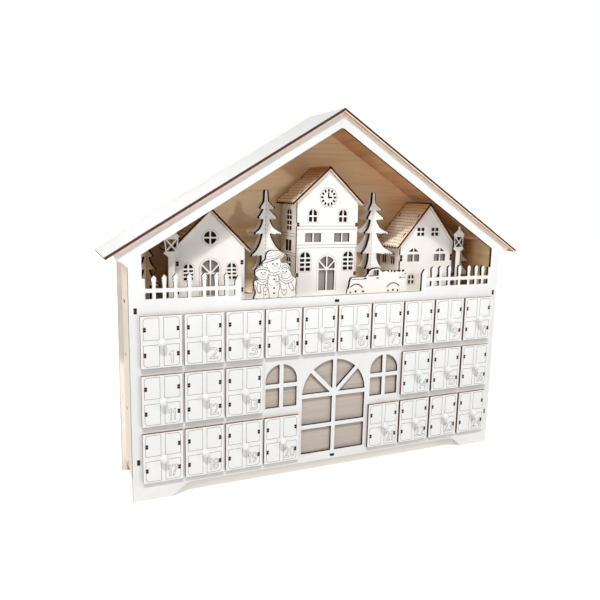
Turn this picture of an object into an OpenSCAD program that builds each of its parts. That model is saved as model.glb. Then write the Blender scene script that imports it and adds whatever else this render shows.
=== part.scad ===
// Wooden advent calendar: a laser-cut plywood house with 24 drawers and a small village under its gable.
// X runs across the front, Z up from the feet, and the front faces -Y. The origin is the middle of the
// footprint, on the surface that the feet stand on.

/* [Plywood] */
// Thickness of the plywood of the house
ply = 3; // [2.5:0.1:4]
// Thickness of the plywood of the village
village_ply = 2.5; // [2:0.1:3]
// Thickness of the plywood of the drawers
drawer_ply = 3; // [2:0.1:3.2]
// Thickness of the board behind the windows of the house
backing_ply = 3; // [1.5:0.1:4]
// Thickness of the boards behind the windows of the village
village_backing_ply = 1.5; // [1:0.1:2.5]

/* [House] */
// Clear depth between the front and back panels
inner_d = 70; // [68:1:90]
// Height of the roof's ridge over the stage floor
gable_h = 188.5; // [186:0.5:200]
// Reach of the roof past the edges of the front and back panels
roof_side = 20.3; // [18:0.1:26]
// Slope of the roof in degrees
roof_pitch = 31.7; // [30.5:0.1:32]
// Reach of the roof in front of the front panel
roof_front = 4; // [2:0.5:8]
// Reach of the roof behind the back panel
roof_back = 3.5; // [1:0.5:8]
// Distance of the side panels in from the edges of the front and back panels
wall_inset = 4.2; // [2:0.1:5]
// Clear space between the outer drawers' columns and the side panels
wall_gap = 0.8; // [0.5:0.1:3]
// Gap between a side panel's outer top edge and the roof
wall_roof_gap = 2.5; // [0.5:0.1:4]
// Height of the bottom rail over the surface
rail_z = 12; // [8:0.5:14]
// Length of a foot along the surface
foot_l = 34; // [25:1:40]
// Width of the curve between a foot and the rail
foot_curve = 21; // [10:1:30]
// Reach of the bracket that carries the eave, out from the panel's edge
bracket_reach = 12; // [8:0.5:14]
// Height of the bracket
bracket_h = 11.5; // [9:0.5:14]

/* [Gable opening] */
// Width of the panel beside the gable opening
post_w = 12; // [10:0.5:16]
// Width of the gable band, square to the roof
gable_band = 12.3; // [9:0.1:16]
// Radius that rounds the top of the opening
gable_round = 5; // [2:0.5:10]
// Height of the opening's sill over the stage floor
sill_h = 4; // [2:0.5:6]
// Half of the clear span between the two fences
fence_start = 103; // [96:1:106]
// Height of the fence's foot over the sill
fence_foot_h = 5; // [3:0.5:7]
// Height of the gaps under the fence's rail
fence_gap_h = 5.7; // [3:0.1:7]
// Height of the fence's rail
fence_rail_h = 3.8; // [2.5:0.1:5]
// Height of a picket over the rail, at the ends of the fence
picket_h = 11; // [8:0.5:13]
// Extra height of the middle pickets
picket_rise = 1.8; // [0:0.1:3]
// Width of a picket's stem
picket_w = 3.2; // [2:0.1:4]
// Width of a picket's toothed head
picket_head_w = 5.2; // [4:0.1:6]

/* [Drawers] */
// Distance between neighbouring columns of drawers
col_pitch = 40; // [39.5:0.1:41]
// Distance between neighbouring rows of drawers
row_pitch = 55.7; // [53:0.1:56]
// Height of the middle of the lowest row over the feet
first_row_z = 42.8; // [42.8:0.1:44]
// Width of a drawer's front plate
plate_w = 37.6; // [36.5:0.1:39]
// Height of a drawer's front plate
plate_h = 48.5; // [47.5:0.1:50]
// Gap between a closed plate and the front panel
plate_gap = 0.5; // [0.2:0.1:1]
// Width of a drawer's tray
tray_w = 33.5; // [30:0.1:34.5]
// Height of a drawer's tray
tray_h = 46; // [40:0.5:46]
// Length of a drawer's tray
tray_d = 62; // [50:1:64]
// Play between a tray and its opening, on each side
tray_play = 0.4; // [0.2:0.05:0.6]
// Distance between the two tabs of a tray's wall
tab_spread = 23.8; // [18:0.1:28]
// Height of a tab
tab_h = 4; // [3:0.1:6]
// Diameter of a knob
knob_d = 7.5; // [6:0.1:9]
// Diameter of a knob's neck
knob_neck_d = 3.6; // [3:0.1:4.5]
// Length of a knob's neck
knob_neck = 1.2; // [0.5:0.1:2]
// Diameter of the peg that holds a knob in its plate
peg_d = 2.9; // [2:0.1:3.5]
// Play of the peg in its hole
peg_play = 0.05; // [0.02:0.01:0.2]

/* [Shelves] */
// Distance of the stage floor over the middle of the top row
stage_rise = 28.8; // [27.5:0.1:32]
// Distance of the base panel under the middle of the lowest row
base_drop = 27.2; // [26:0.1:28]
// Height of the slots for the side panels' tabs
panel_tab_h = 5.5; // [4:0.5:8]
// Width of the middle tabs of the base and the stage floor
shelf_tab_w = 5; // [4:0.5:10]
// Length of the shelves' side tabs
side_tab_l = 9; // [6:0.5:12]

/* [Windows] */
// Width of the big middle window
door_w = 73.5; // [70:0.5:75]
// Height of the big middle window
door_h = 100; // [90:0.5:101]
// Width of the small side windows
window_w = 34; // [30:0.5:34]
// Height of the small side windows
window_h = 45; // [40:0.5:46]
// Distance of the side windows' tops under the middle of the top row
window_drop = 33; // [32.5:0.1:34]
// Width of the windows' bars
bar_w = 4.4; // [3:0.1:6]

/* [Village] */
// Distance of the house fronts behind the front panel
village_y = 23.5; // [22:0.5:24]
// Space between the village houses and the back panel
village_back = 3.5; // [2:0.5:12]
// Reach of the village roofs in front of the house fronts
village_eave = 3; // [1:0.5:3]
// Reach of the village roofs behind the side walls
village_roof_rear = 3; // [0:0.5:3]
// Space between a lamp post and the roof behind it
lamp_gap = 0.5; // [0.3:0.1:2]
// Width of the village houses
village_w = 70; // [64:0.5:72]
// Distance between the middle of the stage and the cottages
cottage_x = 126; // [122:0.5:128]
// Height of the town hall's ridge over the stage
hall_h = 134.3; // [120:0.5:140]
// Slope of the town hall's roof in degrees
hall_pitch = 42.3; // [38:0.1:45]
// Height of the left cottage's ridge over the stage
cottage_left_h = 91; // [84:0.5:98]
// Slope of the left cottage's roof in degrees
cottage_left_pitch = 45; // [42:0.5:48]
// Height of the right cottage's ridge over the stage
cottage_right_h = 99; // [92:0.5:100]
// Slope of the right cottage's roof in degrees
cottage_right_pitch = 50; // [46:0.5:52]
// Reach of the village roofs past the side walls
village_roof_over = 6.5; // [4:0.5:7]
// Width of the bars in the village windows
pane_bar = 1.6; // [1:0.1:2.2]
// Distance of the tree axes behind the front panel
tree_y = 41.5; // [38:0.5:46]
// Height of the two tall trees
tree_h = 109; // [95:0.5:112]
// Reach of the tall trees' longest boughs
tree_reach = 26.2; // [22:0.1:27]
// Turn of the trees' crossed boards in degrees
tree_turn = 51.5; // [45:0.5:52]
// Height of the two small trees
small_tree_h = 62; // [50:0.5:64]
// Reach of the small trees' longest boughs
small_tree_reach = 16; // [12:0.5:18]
// Distance of the lamp posts from the middle of the stage
lamp_x = 165; // [163:0.5:167]
// Height of the lamp posts
lamp_h = 73; // [66:0.5:80]
// Width of a lamp post's shaft
lamp_shaft_w = 6; // [4:0.5:7]
// Width of a lantern
lantern_w = 16; // [12:0.5:18]
// Distance of the snow figures and the truck behind the front panel
front_row_y = 7.5; // [5:0.5:11]
// Width of the group of snow figures
snow_w = 46; // [40:0.5:50]
// Height of the group of snow figures
snow_h = 50.5; // [44:0.5:56]
// Place of the snow figures' middle left of the middle of the stage
snow_x = 64; // [60:0.5:68]
// Length of the pickup truck
truck_l = 74; // [66:0.5:78]
// Height of the pickup truck's cab
truck_h = 30; // [26:0.5:34]
// Place of the truck's nose right of the middle of the stage
truck_x = 17; // [14:0.5:22]
// Radius of the truck's wheels
wheel_r = 8; // [6:0.5:9]

/* [Hidden] */

$fn = 48;
// Overrun of the cuts
cut = 1;
// Play of the cross-lap joints and of the tabs in the stage floor
lap_play = 0.1;
// Play between the shelves' top faces and the trays
tray_drop = 0.3;

// Places along Y, from the knobs to the back edge of the roof
knob_shown_share = 0.95;
knob_out = knob_neck + knob_d * knob_shown_share;
overall_d = knob_out + drawer_ply + plate_gap + ply + inner_d + ply + roof_back;
plate_y = knob_out - overall_d / 2;
panel_y = plate_y + drawer_ply + plate_gap;
inner_y = panel_y + ply;
back_y = inner_y + inner_d;
roof_l = roof_front + ply + inner_d + ply + roof_back;

// Places along X
columns = 10;
middle_col = (columns - 1) / 2;
last_divider = columns / 2 - 1;
wall_x = columns * col_pitch / 2 + wall_gap;
panel_w = 2 * (wall_x + ply + wall_inset);
roof_w = panel_w + 2 * roof_side;
opening_w = panel_w - 2 * post_w;

// Heights of the rows, shelves and floors
top_row_z = first_row_z + 2 * row_pitch;
base_z = first_row_z - base_drop - ply / 2;
stage_z = top_row_z + stage_rise + ply / 2;
shelf_lower_z = first_row_z + row_pitch - tray_h / 2 - tray_drop - ply;
shelf_upper_z = shelf_lower_z + row_pitch;
sill_z = stage_z + sill_h;
house_h = stage_z + gable_h;

// Columns and rows of the drawers, counted from the top left
drawer_cells = [for (c = [0 : 9]) [c, 0], for (c = [0 : 2]) [c, 1], for (c = [7 : 9]) [c, 1],
                for (c = [0 : 3]) [c, 2], for (c = [6 : 9]) [c, 2]];
function cell_x(n) = (drawer_cells[n - 1][0] - middle_col) * col_pitch;
function cell_z(n) = top_row_z - drawer_cells[n - 1][1] * row_pitch;

// Height of the underside of a pitched roof over its own middle line, at the distance x from it
function under_z(x, ridge, pitch, t) = ridge - t / cos(pitch) - abs(x) * tan(pitch);
function roof_under(x) = under_z(x, house_h, roof_pitch, ply);

// Points of a half cosine from one point to another
function ogee(x0, z0, x1, z1, steps = 8) =
    [for (i = [0 : steps]) [x0 + (x1 - x0) * i / steps, z0 + (z1 - z0) * (1 - cos(180 * i / steps)) / 2]];
function mirrored(pts) = [for (i = [len(pts) - 1 : -1 : 0]) [-pts[i][0], pts[i][1]]];
function scaled_to(pts, w, h) = [for (p = pts) [p[0] * w, p[1] * h]];

// A flat board standing across the house: its outline is drawn in X and Z, its front face lies at y
module board(y, t) {
    translate([0, y + t, 0]) rotate([90, 0, 0]) linear_extrude(t) children();
}

// Outline of the front and back panels, with the brackets that carry the eaves
bracket_share = [[0, 0], [0.24, 0.26], [0.45, 0.45], [0.7, 0.53], [0.8, 0.6], [0.92, 0.84], [1, 1]];
module panel_outline() {
    edge = panel_w / 2;
    tip = edge + bracket_reach;
    tip_z = roof_under(tip);
    right = concat(
        ogee(edge - foot_l - foot_curve, rail_z, edge - foot_l, 0),
        [[edge, 0]],
        [for (p = scaled_to(bracket_share, bracket_reach, bracket_h))
            [edge + p[0], tip_z - bracket_h + p[1]]]);
    polygon(concat(right, [[0, roof_under(0)]], mirrored(right)));
}

// Slots in a panel for the tabs of the side panels, the base and the stage floor
module panel_slots() {
    for (s = [-1, 1], z = [base_z + ply, stage_z - ply / 2] + [panel_tab_h * 4, 0])
        translate([s * (wall_x + ply / 2), z]) square([ply, panel_tab_h], center = true);
    for (z = [base_z, stage_z - ply])
        translate([-shelf_tab_w / 2, z]) square([shelf_tab_w, ply]);
}
function wall_tab_z() = [base_z + ply + panel_tab_h * 4, stage_z - ply / 2];

// Fence of pickets with toothed heads, from the middle outwards, on the panel's right side
picket_places_share = [0.154, 0.262, 0.387, 0.537, 0.675, 0.785, 0.886];
picket_head_share = [[0.5, 0], [0.5, 0.3], [0.78, 0.34], [0.58, 0.48], [0.9, 0.53], [0.64, 0.68],
                     [1, 0.74], [0.4, 0.93], [0, 1]];
inner_post_share = 0.065;
outer_post_share = 0.029;
post_top_share = 0.85;

module picket(x, h) {
    half = [for (p = picket_head_share)
        [p[0] <= 0.5 && p[1] < 0.4 ? picket_w / 2 : p[0] * picket_head_w / 2, p[1] * h]];
    translate([x, 0]) polygon(concat(half, mirrored([for (i = [0 : len(half) - 2]) half[i]])));
}

module fence() {
    span = opening_w / 2 - fence_start;
    foot_z = sill_z + fence_foot_h;
    rail_low = foot_z + fence_gap_h;
    rail_top = rail_low + fence_rail_h;
    translate([fence_start, sill_z - cut]) square([span + cut, fence_foot_h + cut]);
    translate([fence_start, rail_low]) square([span + cut, fence_rail_h]);
    translate([fence_start, sill_z]) square([inner_post_share * span, rail_top - sill_z]);
    translate([fence_start, rail_top - cut])
        polygon([[0, 0], [inner_post_share * span, 0], [inner_post_share * span, picket_h / 2],
                 [inner_post_share * span / 2, picket_h * post_top_share + cut], [0, picket_h / 2]]);
    translate([opening_w / 2 - outer_post_share * span, sill_z])
        square([outer_post_share * span + cut, rail_top - sill_z + picket_h * post_top_share]);
    for (s = picket_places_share) {
        x = fence_start + s * span;
        translate([x - picket_w / 2, foot_z - cut]) square([picket_w, rail_top - foot_z + 2 * cut]);
        translate([0, rail_top])
            picket(x, picket_h + picket_rise * (1 - pow(2 * s - 1, 2)));
    }
}

// Opening of the gable, down to its sill
module gable_opening() {
    half = opening_w / 2;
    drop = gable_band / cos(roof_pitch);
    peak = roof_under(0) - drop;
    round_z = gable_round / cos(roof_pitch);
    touch_x = gable_round * sin(roof_pitch);
    difference() {
        union() {
            polygon([[-half, sill_z], [half, sill_z], [half, roof_under(half) - drop],
                     [touch_x, peak - touch_x * tan(roof_pitch)], [-touch_x, peak - touch_x * tan(roof_pitch)],
                     [-half, roof_under(half) - drop]]);
            translate([0, peak - round_z]) circle(gable_round);
        }
        fence();
        mirror([1, 0]) fence();
    }
}

// Round-headed opening with its bars, its sill at z = 0
module arched_window(w, h, bar, cross_share) {
    r = w / 2;
    difference() {
        union() {
            translate([-r, 0]) square([w, h - r]);
            translate([0, h - r]) circle(r);
        }
        translate([-bar / 2, -cut]) square([bar, h + 2 * cut]);
        for (s = cross_share)
            translate([-r - cut, s * h - bar / 2]) square([w + 2 * cut, bar]);
    }
}

// Big window with a fan of bars over its spring line
fan_angle = 45;
door_cross_share = 0.294;
module fan_window(w, h, bar) {
    r = w / 2;
    spring = h - r;
    difference() {
        union() {
            translate([-r, 0]) square([w, spring]);
            translate([0, spring]) circle(r);
        }
        translate([-bar / 2, -cut]) square([bar, h + 2 * cut]);
        for (z = [spring - bar * 0.6, door_cross_share * h - bar / 2])
            translate([-r - cut, z]) square([w + 2 * cut, bar]);
        for (s = [-1, 1])
            translate([0, spring]) rotate(90 + s * fan_angle) translate([0, -bar / 2]) square([w, bar]);
    }
}

// Places of the windows under the middle of the house
window_x = 1.5 * col_pitch;
window_top_z = top_row_z - window_drop;
window_cross_share = 0.505;

module window_cuts() {
    translate([0, window_top_z - door_h]) fan_window(door_w, door_h, bar_w);
    for (s = [-1, 1])
        translate([s * window_x, window_top_z - window_h])
            arched_window(window_w, window_h, bar_w, [window_cross_share]);
}

// Front panel: drawer openings, windows, fences and the gable opening in one board
module front_panel() {
    color("whitesmoke") board(panel_y, ply) difference() {
        panel_outline();
        panel_slots();
        gable_opening();
        window_cuts();
        for (n = [1 : 24])
            translate([cell_x(n), cell_z(n)])
                square([tray_w + 2 * tray_play, tray_h + 2 * tray_play], center = true);
    }
}

// Back panel: the same outline, closed
module back_panel() {
    color("burlywood") board(back_y, ply) difference() {
        panel_outline();
        panel_slots();
    }
}

// Side panel: its tabs reach through the front and back panels, its slots take the shelves' tabs
wall_top_z = roof_under(wall_x + ply) - wall_roof_gap;
side_tab_y_share = [0.22, 0.78];
shelf_levels = [base_z, shelf_lower_z, shelf_upper_z, stage_z - ply];

module side_panel(side) {
    x = side < 0 ? -wall_x - ply : wall_x;
    color("tan") difference() {
        union() {
            translate([x, inner_y, rail_z]) cube([ply, inner_d, wall_top_z - rail_z]);
            for (z = wall_tab_z())
                translate([x, panel_y, z - panel_tab_h / 2]) cube([ply, inner_d + 2 * ply, panel_tab_h]);
        }
        for (z = shelf_levels, s = side_tab_y_share)
            translate([x - cut, inner_y + s * inner_d - side_tab_l / 2, z])
                cube([ply + 2 * cut, side_tab_l, ply]);
    }
}

// Roof board: cut upright at the ridge, square at the eave
module roof_panel(side) {
    run = roof_w / 2;
    eave_z = house_h - run * tan(roof_pitch);
    color("white") board(panel_y - roof_front, roof_l)
        polygon([[0, house_h], [side * run, eave_z],
            [side * (run - ply * sin(roof_pitch)), eave_z - ply * cos(roof_pitch)], [0, roof_under(0)]]);
}

// Shelf with tabs through the side panels
module shelf(z) {
    translate([-wall_x, inner_y, z]) cube([2 * wall_x, inner_d, ply]);
    for (s = side_tab_y_share)
        translate([-wall_x - ply, inner_y + s * inner_d - side_tab_l / 2, z])
            cube([2 * (wall_x + ply), side_tab_l, ply]);
}

// Middle tabs that reach through the front and back panels
module middle_tabs(z) {
    translate([-shelf_tab_w / 2, panel_y, z]) cube([shelf_tab_w, inner_d + 2 * ply, ply]);
}

module base_panel() {
    color("burlywood") union() {
        shelf(base_z);
        middle_tabs(base_z);
    }
}

backing_door_half = col_pitch - ply / 2;
module shelf_lower() {
    color("burlywood") difference() {
        shelf(shelf_lower_z);
        translate([-backing_door_half, inner_y - cut, shelf_lower_z - cut])
            cube([2 * backing_door_half, backing_ply + cut, ply + 2 * cut]);
    }
}

module shelf_upper() {
    color("burlywood") shelf(shelf_upper_z);
}

// Stage floor, with a slot for each tab of the village
module stage_floor() {
    color("burlywood") difference() {
        union() {
            shelf(stage_z - ply);
            middle_tabs(stage_z - ply);
        }
        village_tabs(lap_play);
    }
}

// Upright dividers between the columns of one row, at the given places in columns from the middle
module dividers(places, z0, z1) {
    color("tan") for (k = places)
        translate([k * col_pitch - ply / 2, inner_y, z0]) cube([ply, inner_d, z1 - z0]);
}

// Board behind the three windows of the house
backing_wide_half = 2 * col_pitch - ply / 2;
module window_backing() {
    color("rosybrown") board(inner_y, backing_ply) union() {
        translate([-backing_wide_half, shelf_lower_z + ply])
            square([2 * backing_wide_half, shelf_upper_z - shelf_lower_z - ply]);
        translate([-backing_door_half, base_z + ply])
            square([2 * backing_door_half, shelf_lower_z - base_z]);
    }
}

// One drawer: front plate, two side walls with tabs, a bottom, a back and a knob
module drawer(n) {
    x = cell_x(n);
    z = cell_z(n);
    tray_y = plate_y + drawer_ply;
    wall_in = tray_w / 2 - drawer_ply;
    color("white") difference() {
        translate([x - plate_w / 2, plate_y, z - plate_h / 2]) cube([plate_w, drawer_ply, plate_h]);
        for (s = [-1, 1], t = [-1, 1])
            translate([x + s * (wall_in + drawer_ply / 2) - drawer_ply / 2, plate_y - cut,
                       z + t * tab_spread / 2 - tab_h / 2])
                cube([drawer_ply, drawer_ply + 2 * cut, tab_h]);
        translate([x, plate_y - cut, z]) rotate([-90, 0, 0])
            cylinder(h = drawer_ply + 2 * cut, r = peg_d / 2 + peg_play);
    }
    color("tan") for (s = [-1, 1]) {
        wall_x0 = x + s * (wall_in + drawer_ply / 2) - drawer_ply / 2;
        union() {
            translate([wall_x0, tray_y, z - tray_h / 2]) cube([drawer_ply, tray_d, tray_h]);
            for (t = [-1, 1])
                translate([wall_x0, plate_y, z + t * tab_spread / 2 - tab_h / 2])
                    cube([drawer_ply, drawer_ply + cut, tab_h]);
        }
    }
    color("burlywood") {
        translate([x - wall_in, tray_y, z - tray_h / 2]) cube([2 * wall_in, tray_d, drawer_ply]);
        translate([x - wall_in, tray_y + tray_d - drawer_ply, z - tray_h / 2 + drawer_ply])
            cube([2 * wall_in, drawer_ply, tray_h - drawer_ply]);
    }
    color("white") translate([x, plate_y, z]) rotate([90, 0, 0]) union() {
        translate([0, 0, knob_out - knob_d / 2]) sphere(d = knob_d);
        cylinder(h = knob_out - knob_d / 2, d = knob_neck_d);
        translate([0, 0, -drawer_ply]) cylinder(h = drawer_ply + knob_neck, d = peg_d);
    }
}

// Village: places of its fronts and the heights that its outlines start from
front_y = inner_y + village_y;
village_d = inner_d - village_y - village_ply - village_back;
lamp_front_y = front_y - village_eave - lamp_gap - village_ply;
figures_y = inner_y + front_row_y;
house_half = village_w / 2 + village_roof_over;
tree_x = cottage_x / 2;
small_tree_x = (cottage_x + house_half + wall_x) / 2;
stage_tab_w = 8;
small_tree_tab_w = 6;
side_wall_x = village_w / 2 - village_ply;
cottage_slot_in = 1.5;
hall_tab_z = [22.5, 74.5];
cottage_tab_z = [10, 37.3];
hall_tab_h = 3.6;
cottage_tab_h = 4.2;

// Tabs of the village pieces, down through the stage floor; play widens them into slots
module floor_tab(x, y, w, t, play) {
    translate([x - w / 2 - play, y - play, stage_z - ply - play])
        cube([w + 2 * play, t + 2 * play, ply + 2 * play]);
}

module front_tabs(x, play) {
    for (s = [-1, 1]) floor_tab(x + s * village_w / 4, front_y, stage_tab_w, village_ply, play);
}

module tree_tabs(x, w, play) {
    for (turn = [0, 90])
        translate([x, inner_y + tree_y, 0]) rotate(-tree_turn + turn)
            floor_tab(0, -village_ply / 2, w, village_ply, play);
}

module lamp_tab(x, play) {
    floor_tab(x, lamp_front_y, lamp_shaft_w * 0.8, village_ply, play);
}

module snow_tabs(play) {
    for (s = [-1, 1]) floor_tab(-snow_x + s * snow_w / 4, figures_y, stage_tab_w, village_ply, play);
}

truck_tab_share = [0.28, 0.72];
module truck_tabs(play) {
    for (s = truck_tab_share)
        floor_tab(truck_x + s * truck_l, figures_y, stage_tab_w, village_ply, play);
}

module village_tabs(play) {
    for (x = [-cottage_x, 0, cottage_x]) front_tabs(x, play);
    for (s = [-1, 1]) {
        tree_tabs(s * tree_x, stage_tab_w, play);
        tree_tabs(s * small_tree_x, small_tree_tab_w, play);
        lamp_tab(s * lamp_x, play);
    }
    snow_tabs(play);
    truck_tabs(play);
}

// Gabled outline of a village front: w wide, under a roof of the given ridge height and pitch
module house_outline(ridge, pitch) {
    half = village_w / 2;
    polygon([[-half, 0], [half, 0], [half, under_z(half, ridge, pitch, village_ply)],
             [0, under_z(0, ridge, pitch, village_ply)], [-half, under_z(half, ridge, pitch, village_ply)]]);
}

// Two side walls of a village house, with tabs into its front
module house_sides(x, ridge, pitch, inset, tab_zs, tab_hh) {
    x_in = side_wall_x - inset;
    top = under_z(x_in + village_ply, ridge, pitch, village_ply);
    color("antiquewhite") for (s = [-1, 1])
        translate([x + s * (x_in + village_ply / 2) - village_ply / 2, 0, stage_z]) union() {
            translate([0, front_y + village_ply, 0]) cube([village_ply, village_d, top]);
            for (z = tab_zs)
                translate([0, front_y, z - tab_hh / 2]) cube([village_ply, village_ply + cut, tab_hh]);
        }
}

// Slots in a village front for the tabs of its side walls
module side_slots(inset, tab_zs, tab_hh) {
    for (s = [-1, 1], z = tab_zs)
        translate([s * (side_wall_x - inset + village_ply / 2), z])
            square([village_ply, tab_hh], center = true);
}

// Two roof boards of a village house, cut upright at the ridge
module house_roof(x, ridge, pitch) {
    run = house_half;
    length = village_eave + village_ply + village_d + village_roof_rear;
    color("white") for (s = [-1, 1])
        board(front_y - village_eave, length) translate([x, stage_z])
            polygon([[0, ridge], [s * run, ridge - run * tan(pitch)],
                     [s * (run - village_ply * sin(pitch)), ridge - run * tan(pitch) - village_ply * cos(pitch)],
                     [0, ridge - village_ply / cos(pitch)]]);
}

// Rectangular opening with an upright bar and, if wanted, a cross bar
module paned_window(w, h, bar, cross = false) {
    difference() {
        square([w, h], center = true);
        square([bar, h + cut], center = true);
        if (cross) square([w + cut, bar], center = true);
    }
}

// Segment-headed double door with a fan over its cross bar
door_spring_share = 0.64;
module village_door(w, h, bar) {
    spring = h * door_spring_share;
    r = (h - spring) / 2 + w * w / 8 / (h - spring);
    difference() {
        intersection() {
            translate([-w / 2, 0]) square([w, h]);
            union() {
                translate([-w / 2, 0]) square([w, h - r]);
                translate([0, h - r]) circle(r);
            }
        }
        translate([-bar / 2, -cut]) square([bar, h + 2 * cut]);
        translate([-w, spring - bar]) square([2 * w, bar]);
        for (s = [-1, 1])
            translate([0, spring - bar / 2]) rotate(90 + s * (90 - fan_angle)) translate([0, -bar / 2])
                square([w, bar]);
    }
}

// Town hall: places over the stage and sizes of its windows
hall_door_w = 18.6;
hall_door_h = 36;
hall_door_z = 5.5;
hall_small_w = 9;
hall_small_h = 12.5;
hall_small_x = 17.4;
hall_small_z = 77.5;
hall_pair_w = 18;
hall_pair_h = 9.4;
hall_pair_x = 16.7;
hall_pair_z = 61.2;
hall_arch_w = 11.6;
hall_arch_h = 19.8;
hall_arch_x = 25.1;
hall_arch_z = 26.5;
two_rows_share = [0.46];
four_rows_share = [0.22, 0.45, 0.68];

module town_hall_front() {
    color("white") union() {
        board(front_y, village_ply) translate([0, stage_z]) difference() {
            house_outline(hall_h, hall_pitch);
            side_slots(0, hall_tab_z, hall_tab_h);
            translate([0, hall_door_z]) village_door(hall_door_w, hall_door_h, pane_bar);
            for (s = [-1, 1]) {
                translate([s * hall_small_x, hall_small_z])
                    arched_window(hall_small_w, hall_small_h, pane_bar, two_rows_share);
                translate([s * hall_pair_x, hall_pair_z]) paned_window(hall_pair_w, hall_pair_h, pane_bar);
                translate([s * hall_arch_x, hall_arch_z])
                    arched_window(hall_arch_w, hall_arch_h, pane_bar, four_rows_share);
            }
        }
        front_tabs(0, 0);
    }
}

// Left cottage: places over the stage and sizes of its windows
left_round_d = 12.6;
left_round_z = 61.8;
left_arch_w = 9.2;
left_arch_h = 15.8;
left_arch_x = 21.7;
left_arch_z = 21;
left_door_w = 17.6;
left_door_h = 35;
left_door_z = 5.5;

module cottage_left_front() {
    color("white") union() {
        board(front_y, village_ply) translate([-cottage_x, stage_z]) difference() {
            house_outline(cottage_left_h, cottage_left_pitch);
            side_slots(cottage_slot_in, cottage_tab_z, cottage_tab_h);
            translate([0, left_door_z]) village_door(left_door_w, left_door_h, pane_bar);
            translate([0, left_round_z]) difference() {
                circle(d = left_round_d);
                square([left_round_d, pane_bar], center = true);
                square([pane_bar, left_round_d], center = true);
            }
            for (s = [-1, 1])
                translate([s * left_arch_x, left_arch_z])
                    arched_window(left_arch_w, left_arch_h, pane_bar, four_rows_share);
        }
        front_tabs(-cottage_x, 0);
    }
}

// Right cottage: places over the stage and sizes of its windows
right_square_w = 9;
right_square_x = 9.5;
right_square_z = 66.7;
right_pair_w = 15.5;
right_pair_h = 8;
right_pair_x = 17.8;
right_pair_z = 37.5;
right_peak_w = 13.2;
right_peak_h = 4.8;
right_peak_gap = 3;
right_arch_w = 7.2;
right_arch_h = 10.5;
right_arch_x = 19.5;
right_arch_z = 8.5;
right_slot_in = 0;
right_tab_z = [10, 37.5];
right_tab_h = 7;

module cottage_right_front() {
    color("white") union() {
        board(front_y, village_ply) translate([cottage_x, stage_z]) difference() {
            house_outline(cottage_right_h, cottage_right_pitch);
            side_slots(right_slot_in, right_tab_z, right_tab_h);
            for (s = [-1, 1]) {
                translate([s * right_square_x, right_square_z])
                    paned_window(right_square_w, right_square_w, pane_bar, true);
                translate([s * right_pair_x, right_pair_z]) paned_window(right_pair_w, right_pair_h, pane_bar);
                translate([s * right_pair_x, right_pair_z + right_pair_h / 2 + right_peak_gap]) difference() {
                    polygon([[-right_peak_w / 2, 0], [right_peak_w / 2, 0], [0, right_peak_h]]);
                    translate([-pane_bar / 2, -cut]) square([pane_bar, right_peak_h + 2 * cut]);
                }
                translate([s * right_arch_x, right_arch_z])
                    arched_window(right_arch_w, right_arch_h, pane_bar, two_rows_share);
            }
        }
        front_tabs(cottage_x, 0);
    }
}

// Boards behind the larger village windows
backing_margin = 2;
module village_backings() {
    y = front_y + village_ply;
    color("rosybrown") {
        board(y, village_backing_ply) translate([0, stage_z]) union() {
            translate([-hall_door_w / 2 - backing_margin, 0])
                square([hall_door_w + 2 * backing_margin, hall_pair_z]);
            translate([-hall_pair_x - hall_pair_w / 2 - backing_margin,
                       hall_pair_z - hall_pair_h / 2 - backing_margin])
                square([2 * hall_pair_x + hall_pair_w + 2 * backing_margin, hall_pair_h + 2 * backing_margin]);
        }
        board(y, village_backing_ply) translate([-cottage_x - left_door_w / 2 - backing_margin, stage_z])
            square([left_door_w + 2 * backing_margin, left_door_z + left_door_h + backing_margin]);
        board(y, village_backing_ply)
            translate([cottage_x - right_pair_x - right_pair_w / 2 - backing_margin,
                       stage_z + right_pair_z - right_pair_h / 2 - backing_margin])
            square([2 * right_pair_x + right_pair_w + 2 * backing_margin, right_pair_h + 2 * backing_margin]);
    }
}

// Half outlines of the trees, from the top down: reach and height as shares
tree_share = [[0, 1], [0.08, 1], [0.12, 0.985], [0.14, 0.905], [0.2, 0.885], [0.39, 0.838], [0.412, 0.823],
              [0.36, 0.813], [0.187, 0.818], [0.24, 0.792], [0.5, 0.753], [0.55, 0.7385], [0.5, 0.726],
              [0.2, 0.7248], [0.24, 0.69], [0.36, 0.652], [0.54, 0.627], [0.76, 0.614], [0.767, 0.605],
              [0.7, 0.597], [0.2, 0.596], [0.26, 0.54], [0.4, 0.495], [0.66, 0.452], [0.96, 0.42], [1, 0.406],
              [0.93, 0.395], [0.8, 0.402], [0.68, 0.388], [0.5, 0.395], [0.33, 0.38], [0.33, 0.327],
              [0.42, 0.28], [0.557, 0.243], [0.21, 0.235], [0.21, 0]];
small_tree_share = [[0, 1], [0.1, 1], [0.15, 0.98], [0.17, 0.9], [0.24, 0.875], [0.33, 0.85], [0.31, 0.835],
                    [0.2, 0.835], [0.25, 0.775], [0.4, 0.72], [0.46, 0.7], [0.43, 0.68], [0.25, 0.68],
                    [0.3, 0.6], [0.45, 0.545], [0.67, 0.515], [0.69, 0.5], [0.62, 0.485], [0.28, 0.485],
                    [0.35, 0.4], [0.55, 0.33], [0.97, 0.265], [1, 0.25], [0.88, 0.235], [0.72, 0.242],
                    [0.6, 0.23], [0.3, 0.235], [0.28, 0]];

module tree_board(shares, h, reach, slot_from, slot_to) {
    half = scaled_to(shares, reach, h);
    rotate([90, 0, 0]) translate([0, 0, -village_ply / 2]) linear_extrude(village_ply) difference() {
        polygon(concat(half, mirrored([for (i = [1 : len(half) - 1]) half[i]])));
        translate([-village_ply / 2 - lap_play, slot_from])
            square([village_ply + 2 * lap_play, slot_to - slot_from]);
    }
}

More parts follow.
